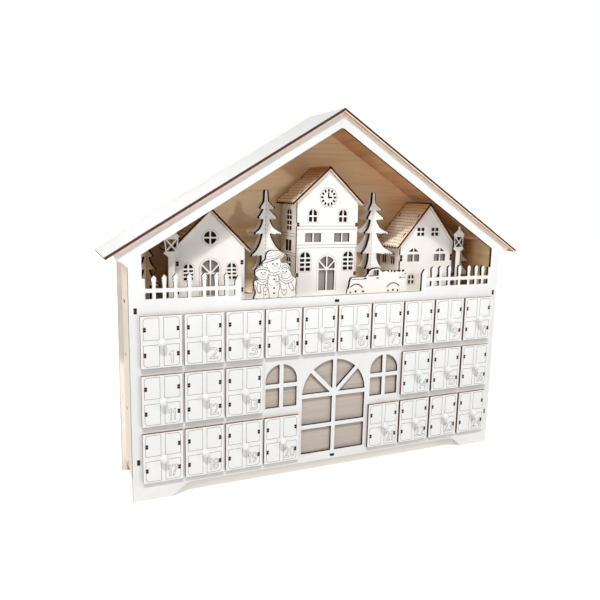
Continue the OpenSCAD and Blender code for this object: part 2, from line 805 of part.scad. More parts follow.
// Tree of two crossed boards that are halved into each other
module tree(x, shares, h, reach, tab_w) {
    tab_half = tab_w / 2 - village_ply / 2 - lap_play;
    color("white") for (b = [0, 1]) translate([x, inner_y + tree_y, 0]) rotate(-tree_turn + 90 * b) union() {
        translate([0, 0, stage_z])
            tree_board(shares, h, reach, b == 0 ? (h - lap_play) / 2 : -cut,
                       b == 0 ? h + cut : (h + lap_play) / 2);
        for (s = [-1, 1])
            floor_tab(s * (tab_w - tab_half) / 2, -village_ply / 2, tab_half, village_ply, 0);
    }
}

// Lamp post: half outline from the foot up, as shares of the lantern's width and the post's height
lamp_share = [[0.5, 0], [0.5, 0.61], [0.94, 0.66], [0.7, 0.68], [0.86, 0.86], [1, 0.87], [0.28, 0.945],
              [0.12, 0.955], [0.24, 0.97], [0.2, 0.99], [0, 1]];
lamp_pane_low_share = 0.68;
lamp_pane_top_share = 0.835;
lamp_pane_share = [0.56, 0.68];
lamp_bar = 1.4;

module lamp_outline() {
    half = [for (p = lamp_share) [p[1] < 0.65 ? lamp_shaft_w / 2 : p[0] * lantern_w / 2, p[1] * lamp_h]];
    low = lamp_pane_low_share * lamp_h;
    high = lamp_pane_top_share * lamp_h;
    low_half = lamp_pane_share[0] * lantern_w / 2;
    high_half = lamp_pane_share[1] * lantern_w / 2;
    lean = atan2(high - low, low_half + high_half);
    difference() {
        polygon(concat(half, mirrored([for (i = [0 : len(half) - 2]) half[i]])));
        difference() {
            polygon([[-low_half, low], [low_half, low], [high_half, high], [-high_half, high]]);
            for (s = [-1, 1])
                translate([0, (low + high) / 2]) rotate(s * lean)
                    square([2 * lantern_w, lamp_bar], center = true);
        }
    }
}

module lamp_post(x) {
    color("white") union() {
        board(lamp_front_y, village_ply) translate([x, stage_z]) lamp_outline();
        lamp_tab(x, 0);
    }
}

// Three snow figures: places and radii as shares of the group's width, heights as shares of its height
snow_body_share = [[-0.3, 0.24, 0.24], [0.02, 0.22, 0.26], [0.3, 0.21, 0.22]];
snow_head_share = [[-0.3, 0.56, 0.18], [0.03, 0.66, 0.17], [0.32, 0.52, 0.18]];
snow_hat_share = [[-0.2, 0.76], [0.24, 0.8], [0.25, 0.85], [0.16, 0.86], [0.13, 1], [-0.08, 0.97], [-0.09, 0.84],
                  [-0.21, 0.81]];
snow_cap_share = [0.4, 0.7, 0.08];
snow_coat_share = [[-0.3, 0.56], [0.03, 0.66], [0.32, 0.52], [0.44, 0.2], [-0.44, 0.2]];
snow_foot_share = 0.44;

module snow_figures() {
    color("white") union() {
        board(figures_y, village_ply) translate([-snow_x, stage_z]) intersection() {
            translate([-snow_w, 0]) square([2 * snow_w, 2 * snow_h]);
            union() {
                for (p = concat(snow_body_share, snow_head_share))
                    translate([p[0] * snow_w, p[1] * snow_h]) circle(p[2] * snow_w);
                translate([snow_cap_share[0] * snow_w, snow_cap_share[1] * snow_h])
                    circle(snow_cap_share[2] * snow_w);
                polygon(scaled_to(snow_hat_share, snow_w, snow_h));
                polygon(scaled_to(snow_coat_share, snow_w, snow_h));
                translate([-snow_foot_share * snow_w, 0])
                    square([2 * snow_foot_share * snow_w, snow_body_share[0][1] * snow_h]);
            }
        }
        snow_tabs(0);
    }
}

// Pickup truck facing left: outline as shares of its length and its cab's height
truck_share = [[0, 0.1], [0, 0.22], [0.03, 0.24], [0.035, 0.6], [0.06, 0.68], [0.3, 0.7], [0.345, 0.9],
               [0.385, 0.98], [0.42, 1], [0.5, 1], [0.545, 0.96], [0.56, 0.9], [0.6, 0.84], [0.63, 0.9],
               [0.66, 0.85], [0.7, 0.91], [0.74, 0.86], [0.79, 0.92], [0.83, 0.87], [0.88, 0.91],
               [0.93, 0.86], [0.99, 0.88], [0.95, 0.8], [0.985, 0.7], [0.985, 0.3], [1, 0.28], [1, 0.14],
               [0.97, 0.1]];
truck_glass_share = [[0.33, 0.7], [0.365, 0.87], [0.4, 0.93], [0.505, 0.93], [0.505, 0.7]];
truck_axle_share = [0.15, 0.77];

module pickup_truck() {
    color("white") union() {
        board(figures_y, village_ply) translate([truck_x, stage_z]) union() {
            difference() {
                polygon(scaled_to(truck_share, truck_l, truck_h));
                polygon(scaled_to(truck_glass_share, truck_l, truck_h));
            }
            for (s = truck_axle_share)
                intersection() {
                    translate([s * truck_l, wheel_r * 0.5]) circle(wheel_r);
                    square([truck_l, truck_h]);
                }
            for (s = truck_tab_share)
                translate([s * truck_l - stage_tab_w / 2, 0]) square([stage_tab_w, truck_h / 3]);
        }
        truck_tabs(0);
    }
}

front_panel();
back_panel();
side_panel(-1);  // side_panel_left
side_panel(1);  // side_panel_right
roof_panel(-1);  // roof_panel_left
roof_panel(1);  // roof_panel_right
base_panel();
shelf_lower();
shelf_upper();
stage_floor();
dividers([-last_divider : -1], base_z + ply, shelf_lower_z);  // dividers_bottom_left
dividers([1 : last_divider], base_z + ply, shelf_lower_z);  // dividers_bottom_right
dividers([-last_divider : -2], shelf_lower_z + ply, shelf_upper_z);  // dividers_middle_left
dividers([2 : last_divider], shelf_lower_z + ply, shelf_upper_z);  // dividers_middle_right
dividers([-last_divider : last_divider], shelf_upper_z + ply, stage_z - ply);  // dividers_top_row
window_backing();
cottage_left_front();
house_sides(-cottage_x, cottage_left_h, cottage_left_pitch, cottage_slot_in, cottage_tab_z, cottage_tab_h);  // cottage_left_sides
house_roof(-cottage_x, cottage_left_h, cottage_left_pitch);  // cottage_left_roof
town_hall_front();
house_sides(0, hall_h, hall_pitch, 0, hall_tab_z, hall_tab_h);  // town_hall_sides
house_roof(0, hall_h, hall_pitch);  // town_hall_roof
cottage_right_front();
house_sides(cottage_x, cottage_right_h, cottage_right_pitch, right_slot_in, right_tab_z, right_tab_h);  // cottage_right_sides
house_roof(cottage_x, cottage_right_h, cottage_right_pitch);  // cottage_right_roof
village_backings();
tree(-small_tree_x, small_tree_share, small_tree_h, small_tree_reach, small_tree_tab_w);  // tree_far_left
tree(-tree_x, tree_share, tree_h, tree_reach, stage_tab_w);  // tree_left
tree(tree_x, tree_share, tree_h, tree_reach, stage_tab_w);  // tree_right
tree(small_tree_x, small_tree_share, small_tree_h, small_tree_reach, small_tree_tab_w);  // tree_far_right
lamp_post(-lamp_x);  // lamp_post_left
lamp_post(lamp_x);  // lamp_post_right
snow_figures();
pickup_truck();
drawer(1);  // drawer_01
drawer(2);  // drawer_02
drawer(3);  // drawer_03
drawer(4);  // drawer_04
drawer(5);  // drawer_05
drawer(6);  // drawer_06
drawer(7);  // drawer_07
drawer(8);  // drawer_08
drawer(9);  // drawer_09
drawer(10);  // drawer_10
drawer(11);  // drawer_11
drawer(12);  // drawer_12
drawer(13);  // drawer_13
drawer(14);  // drawer_14
drawer(15);  // drawer_15
drawer(16);  // drawer_16
drawer(17);  // drawer_17
drawer(18);  // drawer_18
drawer(19);  // drawer_19
drawer(20);  // drawer_20
drawer(21);  // drawer_21
drawer(22);  // drawer_22
drawer(23);  // drawer_23
drawer(24);  // drawer_24
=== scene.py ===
"""Looks of the wooden advent calendar: a white plywood house with 24 small drawers and a village
under its gable. Lengths are in millimetres, but for those of model.glb, the camera, the lamps and the floor,
which are in metres."""

import math

import bmesh
import bpy
import numpy as np
from mathutils import Matrix, Vector


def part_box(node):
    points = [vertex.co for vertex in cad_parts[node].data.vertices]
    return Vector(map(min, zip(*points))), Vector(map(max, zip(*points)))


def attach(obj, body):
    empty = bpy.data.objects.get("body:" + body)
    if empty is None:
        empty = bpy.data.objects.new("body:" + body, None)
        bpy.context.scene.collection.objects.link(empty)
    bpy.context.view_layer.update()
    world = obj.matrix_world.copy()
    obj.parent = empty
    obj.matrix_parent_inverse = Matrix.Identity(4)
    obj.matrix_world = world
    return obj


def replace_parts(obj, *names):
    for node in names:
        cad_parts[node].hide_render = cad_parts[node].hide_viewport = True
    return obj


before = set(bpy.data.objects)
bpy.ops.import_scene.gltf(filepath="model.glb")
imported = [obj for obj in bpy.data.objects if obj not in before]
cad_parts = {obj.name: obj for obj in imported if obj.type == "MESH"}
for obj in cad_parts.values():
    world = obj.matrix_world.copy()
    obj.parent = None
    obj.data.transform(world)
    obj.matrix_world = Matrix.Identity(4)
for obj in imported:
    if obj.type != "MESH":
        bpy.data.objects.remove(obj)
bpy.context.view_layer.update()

MM = 0.001
HOUSE = "house"

# Places taken from the parts in model.glb


def corners(node):
    """Lowest and highest corner of a CAD node, in millimetres."""
    low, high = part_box(node)
    return np.array(low) / MM, np.array(high) / MM


DRAWERS = sorted(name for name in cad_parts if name.startswith("drawer_"))
house_board = 3.0
village_board = 2.5
knob_out = 8.325
roof_angle = math.radians(31.7)
roof_ridge_z = corners("roof_panel_left")[1][2]
plate_back_y = corners("drawer_01")[0][1] + knob_out + house_board
village_face_y = corners("town_hall_front")[0][1]
stage_z = corners("town_hall_sides")[0][2]
figures_low, figures_high = corners("snow_figures")
truck_low, _ = corners("pickup_truck")

# Colours, as linear red, green and blue


def tone(red, green, blue):
    """Linear colour of a display colour: the usual display curve, with power 2.4."""
    display = np.array([red, green, blue]) / 255
    linear = np.where(display <= 0.04045, display / 12.92, ((display + 0.055) / 1.055) ** 2.4)
    return tuple(float(c) for c in linear)


def scaled(values, share):
    """Three values, each times one share."""
    return tuple(v * share for v in values)


PAINT = tone(242, 242, 240)
CREAM = tone(246, 238, 226)
REAR_CREAM = tone(248, 239, 224)
WARM = tone(241, 238, 233)
PALE_WOOD = tone(252, 246, 236)
TAN = tone(254, 233, 198), tone(245, 213, 170)
# Painted shade: darker wood for the back panel's sides and the back of the side walls' inner faces
PAINTED_SHADE_WOOD = tone(214, 158, 102), tone(192, 132, 80)
ROOF_WOOD = tone(232, 184, 138), tone(210, 156, 110)
WALL_WOOD = tone(255, 236, 190), tone(246, 214, 158)
# Painted shade: the wood of the back panel's strips where the roof shades them
ROOF_SHADED_STRIP_WOOD = tone(238, 218, 190), tone(216, 190, 158)
TAUPE = tone(202, 190, 180), tone(189, 176, 166)
GREY = tone(172, 163, 157), tone(148, 139, 133)
CHAR = tone(30, 18, 14), tone(66, 42, 34)
PLATE_EDGE = tone(88, 52, 38), tone(146, 96, 72)
EAVE = tone(74, 44, 36)
# Painted light and shade of the village roofs: lit and pale towards the eaves, golden and shaded at the ridge
LIT_SLOPE = tone(254, 245, 230), tone(246, 230, 208)
SHADED_RIDGE = tone(198, 150, 102)
UNDER_SLOPE = tone(240, 226, 208)

# Materials

# A face looks along an axis where its normal's share on that axis is above this
FACING = 0.6
# Cycles of the grain's noise in a metre, along the grain and across it, and the depth of all relief
ALONG_GRAIN = 22.0
ACROSS_GRAIN = 420.0
RELIEF_DEPTH = 0.2 * MM
GRAIN = {axis: tuple(ALONG_GRAIN if a == axis else ACROSS_GRAIN for a in "XYZ") for axis in "XYZ"}


class Recipe:
    """A material's nodes, made one by one and linked as they are made."""

    def __init__(self, name):
        self.material = bpy.data.materials.new(name)
        self.material.use_nodes = True
        self.nodes = self.material.node_tree.nodes
        self.links = self.material.node_tree.links
        self.nodes.clear()
        self.output = self.nodes.new("ShaderNodeOutputMaterial")
        self.surface = self.nodes.new("ShaderNodeBsdfPrincipled")
        self.links.new(self.surface.outputs[0], self.output.inputs[0])
        self.place = self.nodes.new("ShaderNodeTexCoord")

    def put(self, socket, value):
        """Sets a socket to a number or colour, or links it to another socket."""
        if isinstance(value, bpy.types.NodeSocket):
            self.links.new(value, socket)
        elif isinstance(value, tuple) and len(value) == 3 and len(socket.default_value) == 4:
            socket.default_value = (*value, 1.0)
        else:
            socket.default_value = value

    def math(self, operation, first, second=0.0):
        """Result of an operation on one or two values."""
        node = self.nodes.new("ShaderNodeMath")
        node.operation = operation
        self.put(node.inputs[0], first)
        self.put(node.inputs[1], second)
        return node.outputs[0]

    def product(self, first, second):
        """Product of two values."""
        return self.math("MULTIPLY", first, second)

    def above(self, value, limit):
        """1 where a value is greater than a limit, else 0."""
        return self.math("GREATER_THAN", value, limit)

    def below(self, value, limit):
        """1 where a value is less than a limit, else 0."""
        return self.math("LESS_THAN", value, limit)

    def axis(self, source, name):
        """One coordinate of the object's place or normal."""
        node = self.nodes.new("ShaderNodeSeparateXYZ")
        self.links.new(self.place.outputs[source], node.inputs[0])
        return node.outputs[name]

    def unsigned(self, source, name):
        """One coordinate of the object's place or normal, without its sign."""
        return self.math("ABSOLUTE", self.axis(source, name))

    def noise(self, scale, detail, rough, twist=0.0):
        """Noise on the object's own coordinates, at one scale or three, in cycles per metre."""
        stretch = self.nodes.new("ShaderNodeMapping")
        self.links.new(self.place.outputs["Object"], stretch.inputs[0])
        stretch.inputs["Scale"].default_value = scale if isinstance(scale, tuple) else (scale,) * 3
        node = self.nodes.new("ShaderNodeTexNoise")
        self.links.new(stretch.outputs[0], node.inputs["Vector"])
        for name, value in (("Scale", 1.0), ("Detail", detail), ("Roughness", rough), ("Distortion", twist)):
            node.inputs[name].default_value = value
        return node.outputs[0]

    def ramp(self, value, low, high):
        """0 below low, 1 above high and a smooth step between them."""
        node = self.nodes.new("ShaderNodeMapRange")
        node.interpolation_type = "SMOOTHSTEP"
        self.put(node.inputs["Value"], value)
        node.inputs["From Min"].default_value = low
        node.inputs["From Max"].default_value = high
        return node.outputs[0]

    def mix(self, share, first, second):
        """Mix of two colours."""
        node = self.nodes.new("ShaderNodeMix")
        node.data_type = "RGBA"
        self.put(node.inputs[0], share)
        self.put(node.inputs[6], first)
        self.put(node.inputs[7], second)
        return node.outputs[2]

    def blend(self, value, low, high, first, second):
        """Mix of two colours: the first where a value is below low, the second where it is above high."""
        return self.mix(self.ramp(value, low, high), first, second)

    def finish(self, colour, roughness, height=None, relief=0.0, gloss=0.2):
        """Sets the surface's colour, roughness and gloss, and its relief from a height."""
        self.put(self.surface.inputs["Base Color"], colour)
        self.put(self.surface.inputs["Roughness"], roughness)
        self.surface.inputs["Specular IOR Level"].default_value = gloss
        if height is not None:
            node = self.nodes.new("ShaderNodeBump")
            node.inputs["Strength"].default_value = relief
            node.inputs["Distance"].default_value = RELIEF_DEPTH
            self.put(node.inputs["Height"], height)
            self.put(self.surface.inputs["Normal"], node.outputs[0])
        return self.material


def wood_grain(recipe, grain, light, dark):
    """Bare wood: light and dark tones mixed by noise that is stretched along the grain, and scaled rings
    where the sine of a coarser noise is near its peak. Gives the colour and the noise."""
    streaks = recipe.noise(GRAIN[grain], 5.0, 0.6, twist=0.6)
    clouds = recipe.noise(scaled(GRAIN[grain], 1 / 14), 2.0, 0.5, twist=0.4)
    share = recipe.math("ADD", recipe.product(streaks, 0.7), recipe.product(clouds, 0.5))
    wood = recipe.blend(share, 0.4, 0.85, light, dark)
    field = recipe.noise(scaled(GRAIN[grain], 1 / 26), 1.0, 0.4, twist=0.3)
    rings = recipe.math("SINE", recipe.product(field, 70.0))
    figure = recipe.product(recipe.ramp(rings, 0.72, 1.0), 0.26)
    return recipe.mix(figure, wood, scaled(dark, 0.62)), streaks


def cut_edges(recipe, colour, ply_axis, dark=CHAR[0], light=CHAR[1]):
    """A board's colour, burnt on its cut edges, where the normal's share across the board is small: three
    veneers, each 1 mm, under an uneven layer of char."""
    veneers = recipe.math("SINE", recipe.product(recipe.axis("Object", ply_axis), 2 * math.pi / MM))
    soot = recipe.noise(260.0, 3.0, 0.6)
    share = recipe.math("ADD", recipe.product(veneers, 0.16), soot)
    edge = recipe.blend(share, 0.3, 0.72, dark, light)
    return recipe.mix(recipe.below(recipe.unsigned("Normal", ply_axis), FACING), colour, edge)


def painted_board(name, ply_axis, paint, back=None):
    """Painted plywood with burnt edges. Where back is given, the faces towards +axis stay bare, with their
    grain along it."""
    recipe = Recipe(name)
    fibre = recipe.noise(GRAIN["Z"], 4.0, 0.6)
    colour = recipe.blend(recipe.noise(30.0, 2.0, 0.5), 0.35, 0.75, paint, scaled(paint, 0.955))
    if back:
        wood, _ = wood_grain(recipe, back, *TAN)
        colour = recipe.mix(recipe.above(recipe.axis("Normal", ply_axis), FACING), colour, wood)
    return recipe.finish(cut_edges(recipe, colour, ply_axis), 0.55, fibre, 0.12)


def back_board(name, outside):
    """Back panel: bare wood, inside darkened by painted shade towards both sides, and pale with upright
    streaks on the strips that stand out beyond the side walls, with painted shade darkening them higher up."""
    recipe = Recipe(name)
    wood, streaks = wood_grain(recipe, "X", *TAN)
    across = recipe.axis("Object", "X")
    # Painted shade: the inside face darkens towards both sides, as in the shade of the roof and the side
    # walls
    to_left = recipe.ramp(recipe.product(across, -1.0), 110 * MM, 170 * MM)
    sides = recipe.math("ADD", to_left, recipe.ramp(across, 50 * MM, 120 * MM))
    inside = recipe.below(recipe.axis("Normal", "Y"), 0.0)
    painted_shade = recipe.product(recipe.product(sides, inside), 0.6)
    wood = recipe.mix(painted_shade, wood, recipe.blend(streaks, 0.35, 0.7, *PAINTED_SHADE_WOOD))
    upright = recipe.noise(GRAIN["Z"], 4.0, 0.6, twist=0.3)
    low_pale = recipe.blend(upright, 0.35, 0.7, PALE_WOOD, scaled(PALE_WOOD, 0.92))
    # Painted shade: the strips go from their pale wood below 120 mm to shaded wood at 300 mm, under the roof
    roof_shaded_pale = recipe.blend(upright, 0.35, 0.7, *ROOF_SHADED_STRIP_WOOD)
    pale = recipe.blend(recipe.axis("Object", "Z"), 120 * MM, 300 * MM, low_pale, roof_shaded_pale)
    wood = recipe.mix(recipe.above(recipe.unsigned("Object", "X"), outside * MM), wood, pale)
    return recipe.finish(cut_edges(recipe, wood, "Y", *PLATE_EDGE), 0.6, streaks, 0.15)


def painted_floor(name):
    """Floor of the stage: painted on top, bare below, with burnt edges."""
    recipe = Recipe(name)
    wood, streaks = wood_grain(recipe, "X", *TAN)
    colour = recipe.mix(recipe.above(recipe.axis("Normal", "Z"), FACING), wood, PAINT)
    return recipe.finish(cut_edges(recipe, colour, "Z"), 0.55, streaks, 0.08)


def house_wall(name):
    """Side wall of the house: bare inside, darkened by painted shade towards the back, and painted outside
    in two tones, the rear one creamier."""
    recipe = Recipe(name)
    pale, streaks = wood_grain(recipe, "Y", *WALL_WOOD)
    painted_shade = recipe.blend(streaks, 0.35, 0.7, *PAINTED_SHADE_WOOD)
    depth = recipe.axis("Object", "Y")
    # Painted shade: the inner face goes from its pale wood at the front to shaded wood towards the back
    wood = recipe.blend(depth, -28 * MM, 30 * MM, pale, painted_shade)
    outward = recipe.product(recipe.axis("Normal", "X"), recipe.axis("Object", "X"))
    outside = recipe.mix(recipe.above(depth, 2 * MM), CREAM, REAR_CREAM)
    colour = recipe.mix(recipe.below(outward, 0.0), outside, wood)
    return recipe.finish(cut_edges(recipe, colour, "X"), 0.55, streaks, 0.1)


def bare_board(name, ply_axis, grain, light, dark, tab=None):
    """Bare plywood with burnt edges; the ends towards both sides may have a paler tone."""
    recipe = Recipe(name)
    wood, streaks = wood_grain(recipe, grain, light, dark)
    colour = cut_edges(recipe, wood, ply_axis)
    if tab:
        colour = recipe.mix(recipe.above(recipe.unsigned("Normal", "X"), FACING), colour, tab)
    return recipe.finish(colour, 0.6, streaks, 0.15)


def plain_paint(name, paint, roughness):
    """Paint all over."""
    recipe = Recipe(name)
    cloud = recipe.noise(60.0, 2.0, 0.5)
    return recipe.finish(recipe.blend(cloud, 0.35, 0.75, paint, scaled(paint, 0.96)), roughness)


def burnt(name, dark, light):
    """Char between two display colours, as on cut edges, tab ends and engraved lines."""
    recipe = Recipe(name)
    soot = recipe.noise(400.0, 3.0, 0.6)
    return recipe.finish(recipe.blend(soot, 0.35, 0.7, tone(*dark), tone(*light)), 0.8, gloss=0.05)


def drawer_board(name):
    """Drawer: painted in front of the plate's back, bare wood behind it, burnt edges on the plate."""
    recipe = Recipe(name)
    wood, streaks = wood_grain(recipe, "Y", *TAN)
    in_tray = recipe.above(recipe.axis("Object", "Y"), (plate_back_y - 0.02) * MM)
    colour = recipe.mix(in_tray, cut_edges(recipe, PAINT, "Y", *PLATE_EDGE), wood)
    return recipe.finish(colour, 0.55, streaks, 0.1)


def roof_board(name, edge_dark, outer, inner):
    """House roof: painted on top, bare below. Its front edge is of tone outer down to a depth, then inner.
    The depth is the height below the ridge times the cosine, less the reach aside times the sine."""
    recipe = Recipe(name)
    wood, streaks = wood_grain(recipe, "Y", *ROOF_WOOD)
    paint = recipe.mix(recipe.above(recipe.axis("Normal", "Z"), 0.3), wood, PAINT)
    below_ridge = recipe.math("SUBTRACT", roof_ridge_z * MM, recipe.axis("Object", "Z"))
    drop = recipe.product(below_ridge, math.cos(roof_angle))
    aside = recipe.product(recipe.unsigned("Object", "X"), math.sin(roof_angle))
    depth = recipe.math("SUBTRACT", drop, aside)
    edge = recipe.mix(recipe.above(depth, edge_dark * MM), tone(*outer), tone(*inner))
    colour = recipe.mix(recipe.above(recipe.unsigned("Normal", "Y"), FACING), paint, edge)
    colour = recipe.mix(recipe.above(recipe.unsigned("Normal", "X"), 0.7), colour, EAVE)
    return recipe.finish(colour, 0.55, streaks, 0.1)


def slope_paint(node):
    """Village roof: painted shade, golden, at its ridge, and painted light, pale, from under its middle to
    its eaves; cream below.
    """
    recipe = Recipe(node + "_paint")
    low, high = corners(node)
    middle = low[2] + 0.45 * (high[2] - low[2])
    pale = recipe.blend(recipe.noise(160.0, 3.0, 0.5), 0.35, 0.7, *LIT_SLOPE)
    # Painted shade: from under the middle up to the ridge the roof turns golden, as in the gable's shade
    colour = recipe.blend(recipe.axis("Object", "Z"), middle * MM, high[2] * MM, pale, SHADED_RIDGE)
    return recipe.finish(recipe.mix(recipe.below(recipe.axis("Normal", "Z"), 0.0), colour, UNDER_SLOPE), 0.6)


def assign(material, *names):
    """Gives a material to every slot of CAD nodes."""
    for name in names:
        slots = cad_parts[name].data.materials
        for number in range(len(slots)):
            slots[number] = material


line_char = burnt("line_char", (104, 82, 68), (150, 128, 110))
pale_line = burnt("pale_line", (184, 164, 146), (212, 196, 180))
dark_line = burnt("dark_line", (44, 28, 22), (78, 54, 42))
shingle_line = burnt("shingle_line", (112, 72, 46), (156, 110, 76))
char_black = burnt("char_black", (24, 13, 9), (54, 32, 24))
tab_middle_tone = burnt("tab_middle", (120, 92, 74), (150, 122, 100))
veneer = burnt("veneer", (234, 206, 180), (250, 230, 210))
roof_edge = burnt("roof_edge", (52, 28, 20), (88, 52, 38))
# Painted shade: dark card behind the village fronts, darkening what shows through their windows
painted_shade_card = burnt("painted_shade_card", (66, 52, 44), (88, 72, 62))
knob_paint = plain_paint("knob_paint", PAINT, 0.45)
tree_paint = plain_paint("tree_paint", tone(246, 243, 238), 0.55)
far_tree_paint = plain_paint("far_tree_paint", tone(240, 218, 188), 0.55)

assign(painted_board("white_front", "Y", PAINT, back="X"), "front_panel")
assign(back_board("bare_back", corners("side_panel_right")[1][0] - 0.5), "back_panel")
assign(roof_board("roof_left", 2.3, (80, 48, 38), (220, 184, 164)), "roof_panel_left")
assign(roof_board("roof_right", 1.9, (54, 26, 18), (250, 226, 208)), "roof_panel_right")
assign(house_wall("outer_wall"), "side_panel_left", "side_panel_right")
assign(painted_board("cream_wall", "X", CREAM), "cottage_left_sides", "town_hall_sides",
       "cottage_right_sides")
assign(bare_board("bare_floor", "Z", "X", *TAN, tab=tone(206, 180, 152)), "base_panel", "shelf_lower",
       "shelf_upper")
assign(painted_floor("stage_paint"), "stage_floor")
assign(bare_board("bare_wall", "X", "Z", *TAN), "dividers_bottom_left", "dividers_bottom_right",
       "dividers_middle_left", "dividers_middle_right", "dividers_top_row")
assign(bare_board("taupe_board", "Y", "X", *TAUPE), "window_backing")
assign(bare_board("grey_board", "Y", "Z", *GREY), "village_backings")
assign(painted_board("warm_board", "Y", WARM), "cottage_left_front", "town_hall_front", "cottage_right_front",
       "lamp_post_left", "lamp_post_right", "snow_figures", "pickup_truck", "cottage_left_roof",
       "town_hall_roof", "cottage_right_roof", "tree_far_left", "tree_left", "tree_right", "tree_far_right")
assign(drawer_board("drawer_finish"), *DRAWERS)

# Surfaces

LINE_RISE = 0.04
LINE_SINK = 0.1


class Part:
    """Points, the corners of the faces in one row, the number of corners of each face, and the finish."""

    def __init__(self, points, loops, sizes, finish=0):
        self.points = np.asarray(points, float)
        self.loops = np.asarray(loops, int).ravel()
        self.sizes = np.asarray(sizes, int)
        self.finish = np.broadcast_to(np.asarray(finish, int), self.sizes.shape)


def volume(part):
    """Signed volume of a closed part: a sixth of the triple products of each face's fan of triangles."""
    start = np.concatenate([[0], np.cumsum(part.sizes)[:-1]])
    first = np.repeat(part.loops[start], part.sizes)
    following = np.arange(len(part.loops)) + 1
    last = start + part.sizes - 1
    following[last] = start
    a = part.points[first]
    b = part.points[part.loops]
    c = part.points[part.loops[following]]
    return np.einsum("ij,ij->i", a, np.cross(b, c)).sum() / 6


def turned_out(part):
    """The part with its faces outward: where its volume is negative, each face is read backwards."""
    if volume(part) < 0:
        start = np.repeat(np.concatenate([[0], np.cumsum(part.sizes)[:-1]]), part.sizes)
        within = np.arange(len(part.loops)) - start
        part.loops = part.loops[start + np.repeat(part.sizes, part.sizes) - 1 - within]
    return part


def joined(parts):
    """Several parts as one: the corners of each are shifted by the count of the points before it."""
    shift = np.cumsum([0] + [len(p.points) for p in parts])
    return Part(np.concatenate([p.points for p in parts]),
                np.concatenate([p.loops + s for p, s in zip(parts, shift)]),
                np.concatenate([p.sizes for p in parts]),
                np.concatenate([p.finish for p in parts]))


class Plane:
    """A flat face: a corner, the directions u and v on it, and the direction out of it."""

    def __init__(self, corner, u, v, out):
        self.corner = np.array(corner, float)
        self.axes = np.array([u, v, out], float)

    def place(self, part):
        """The part with each point at corner + a u + b v + c out, from its three coordinates."""
        return turned_out(Part(self.corner + part.points @ self.axes, part.loops, part.sizes, part.finish))

    def lay(self, parts):
        """Several parts, each in its place."""
        return [self.place(part) for part in parts]


def front_plane(x, y, z):
    """Plane that faces the front: u runs right, v up."""
    return Plane((x, y, z), (1, 0, 0), (0, 0, 1), (0, -1, 0))


def sweep(rings, closed):
    """Skin through equal rings of points, ring after ring, with a face across each open end."""
    count, size = rings.shape[:2]
    ring = np.arange(count if closed else count - 1)[:, None]
    side = np.arange(size)[None, :]
    after = (ring + 1) % count
    turn = (side + 1) % size
    quads = np.stack([ring * size + side, ring * size + turn, after * size + turn, after * size + side], -1)
    loops, sizes = quads.ravel(), np.full(quads.shape[0] * size, 4)
    if not closed:
        ends = np.concatenate([np.arange(size)[::-1], (count - 1) * size + np.arange(size)])
        loops, sizes = np.concatenate([loops, ends]), np.concatenate([sizes, [size, size]])
    return Part(rings.reshape(-1, 3), loops, sizes)


def strip(path, width, closed=False, finish=0, aside=0.0):
    """Line on a face: a rectangle is carried along the path, moved aside to its right if wanted. At each
    corner its sides lie along the sum of both neighbouring normals over one plus the cosine of the turn."""
    path = np.asarray(path, float)
    ahead = np.roll(path, -1, 0) - path
    if not closed:
        ahead[-1] = ahead[-2]
    ahead /= np.maximum(np.linalg.norm(ahead, axis=1, keepdims=True), 1e-9)
    normal = ahead[:, ::-1] * (1, -1)
    before = np.roll(normal, 1, 0)
    if not closed:
        before[0] = normal[0]
    mitre = normal + before
    mitre /= np.maximum((mitre ** 2).sum(1, keepdims=True) / 2, 0.4)
    right, left = path + mitre * (aside + width / 2), path + mitre * (aside - width / 2)
    up, down = np.full((len(path), 1), LINE_RISE), np.full((len(path), 1), -LINE_SINK)
    rings = np.stack([np.hstack([left, up]), np.hstack([right, up]),
                      np.hstack([right, down]), np.hstack([left, down])], 1)
    part = sweep(rings, closed)
    part.finish = np.full(part.sizes.shape, finish)
    return turned_out(part)


def pad(outline, rise=LINE_RISE, sink=LINE_SINK, finish=0):
    """Flat pad: a convex outline, once at each of two heights, with its walls."""
    outline = np.asarray(outline, float)
    low = np.hstack([outline, np.full((len(outline), 1), -sink)])
    high = np.hstack([outline, np.full((len(outline), 1), rise)])
    part = sweep(np.stack([low, high]), False)
    part.finish = np.full(part.sizes.shape, finish)
    return turned_out(part)


def lathe(radii, heights, steps=32):
    """Turned piece: each radius at its height, round the axis out of the plane."""
    angle = np.linspace(0, 2 * math.pi, steps, endpoint=False)
    radii, heights = np.asarray(radii, float)[:, None], np.asarray(heights, float)[:, None]
    rings = np.stack([radii * np.cos(angle), radii * np.sin(angle), heights + 0 * angle], -1)
    return sweep(rings, False)


def flat_board(outlines):
    """Village board from its outline and holes: a filled flat curve with depth, made a mesh. Its faces get
    finish 0, its walls finish 1, and its front lies at height 0."""
    curve = bpy.data.curves.new("outline", "CURVE")
    curve.dimensions = "2D"
    curve.fill_mode = "BOTH"
    curve.extrude = village_board / 2
    for outline in outlines:
        outline = np.asarray(outline, float)
        spline = curve.splines.new("POLY")
        spline.points.add(len(outline) - 1)
        flat = np.hstack([outline, np.zeros((len(outline), 1)), np.ones((len(outline), 1))])
        spline.points.foreach_set("co", flat.ravel())
        spline.use_cyclic_u = True
    mesh = evaluated(curve)
    work = bmesh.new()
    work.from_mesh(mesh)
    bmesh.ops.remove_doubles(work, verts=work.verts, dist=0.001)
    work.to_mesh(mesh)
    work.free()
    points, loops, sizes = arrays(mesh)
    normals = np.empty(len(mesh.polygons) * 3)
    mesh.polygons.foreach_get("normal", normals)
    bpy.data.meshes.remove(mesh)
    return turned_out(Part(points - (0, 0, village_board / 2), loops, sizes, np.abs(normals[2::3]) < 0.5))


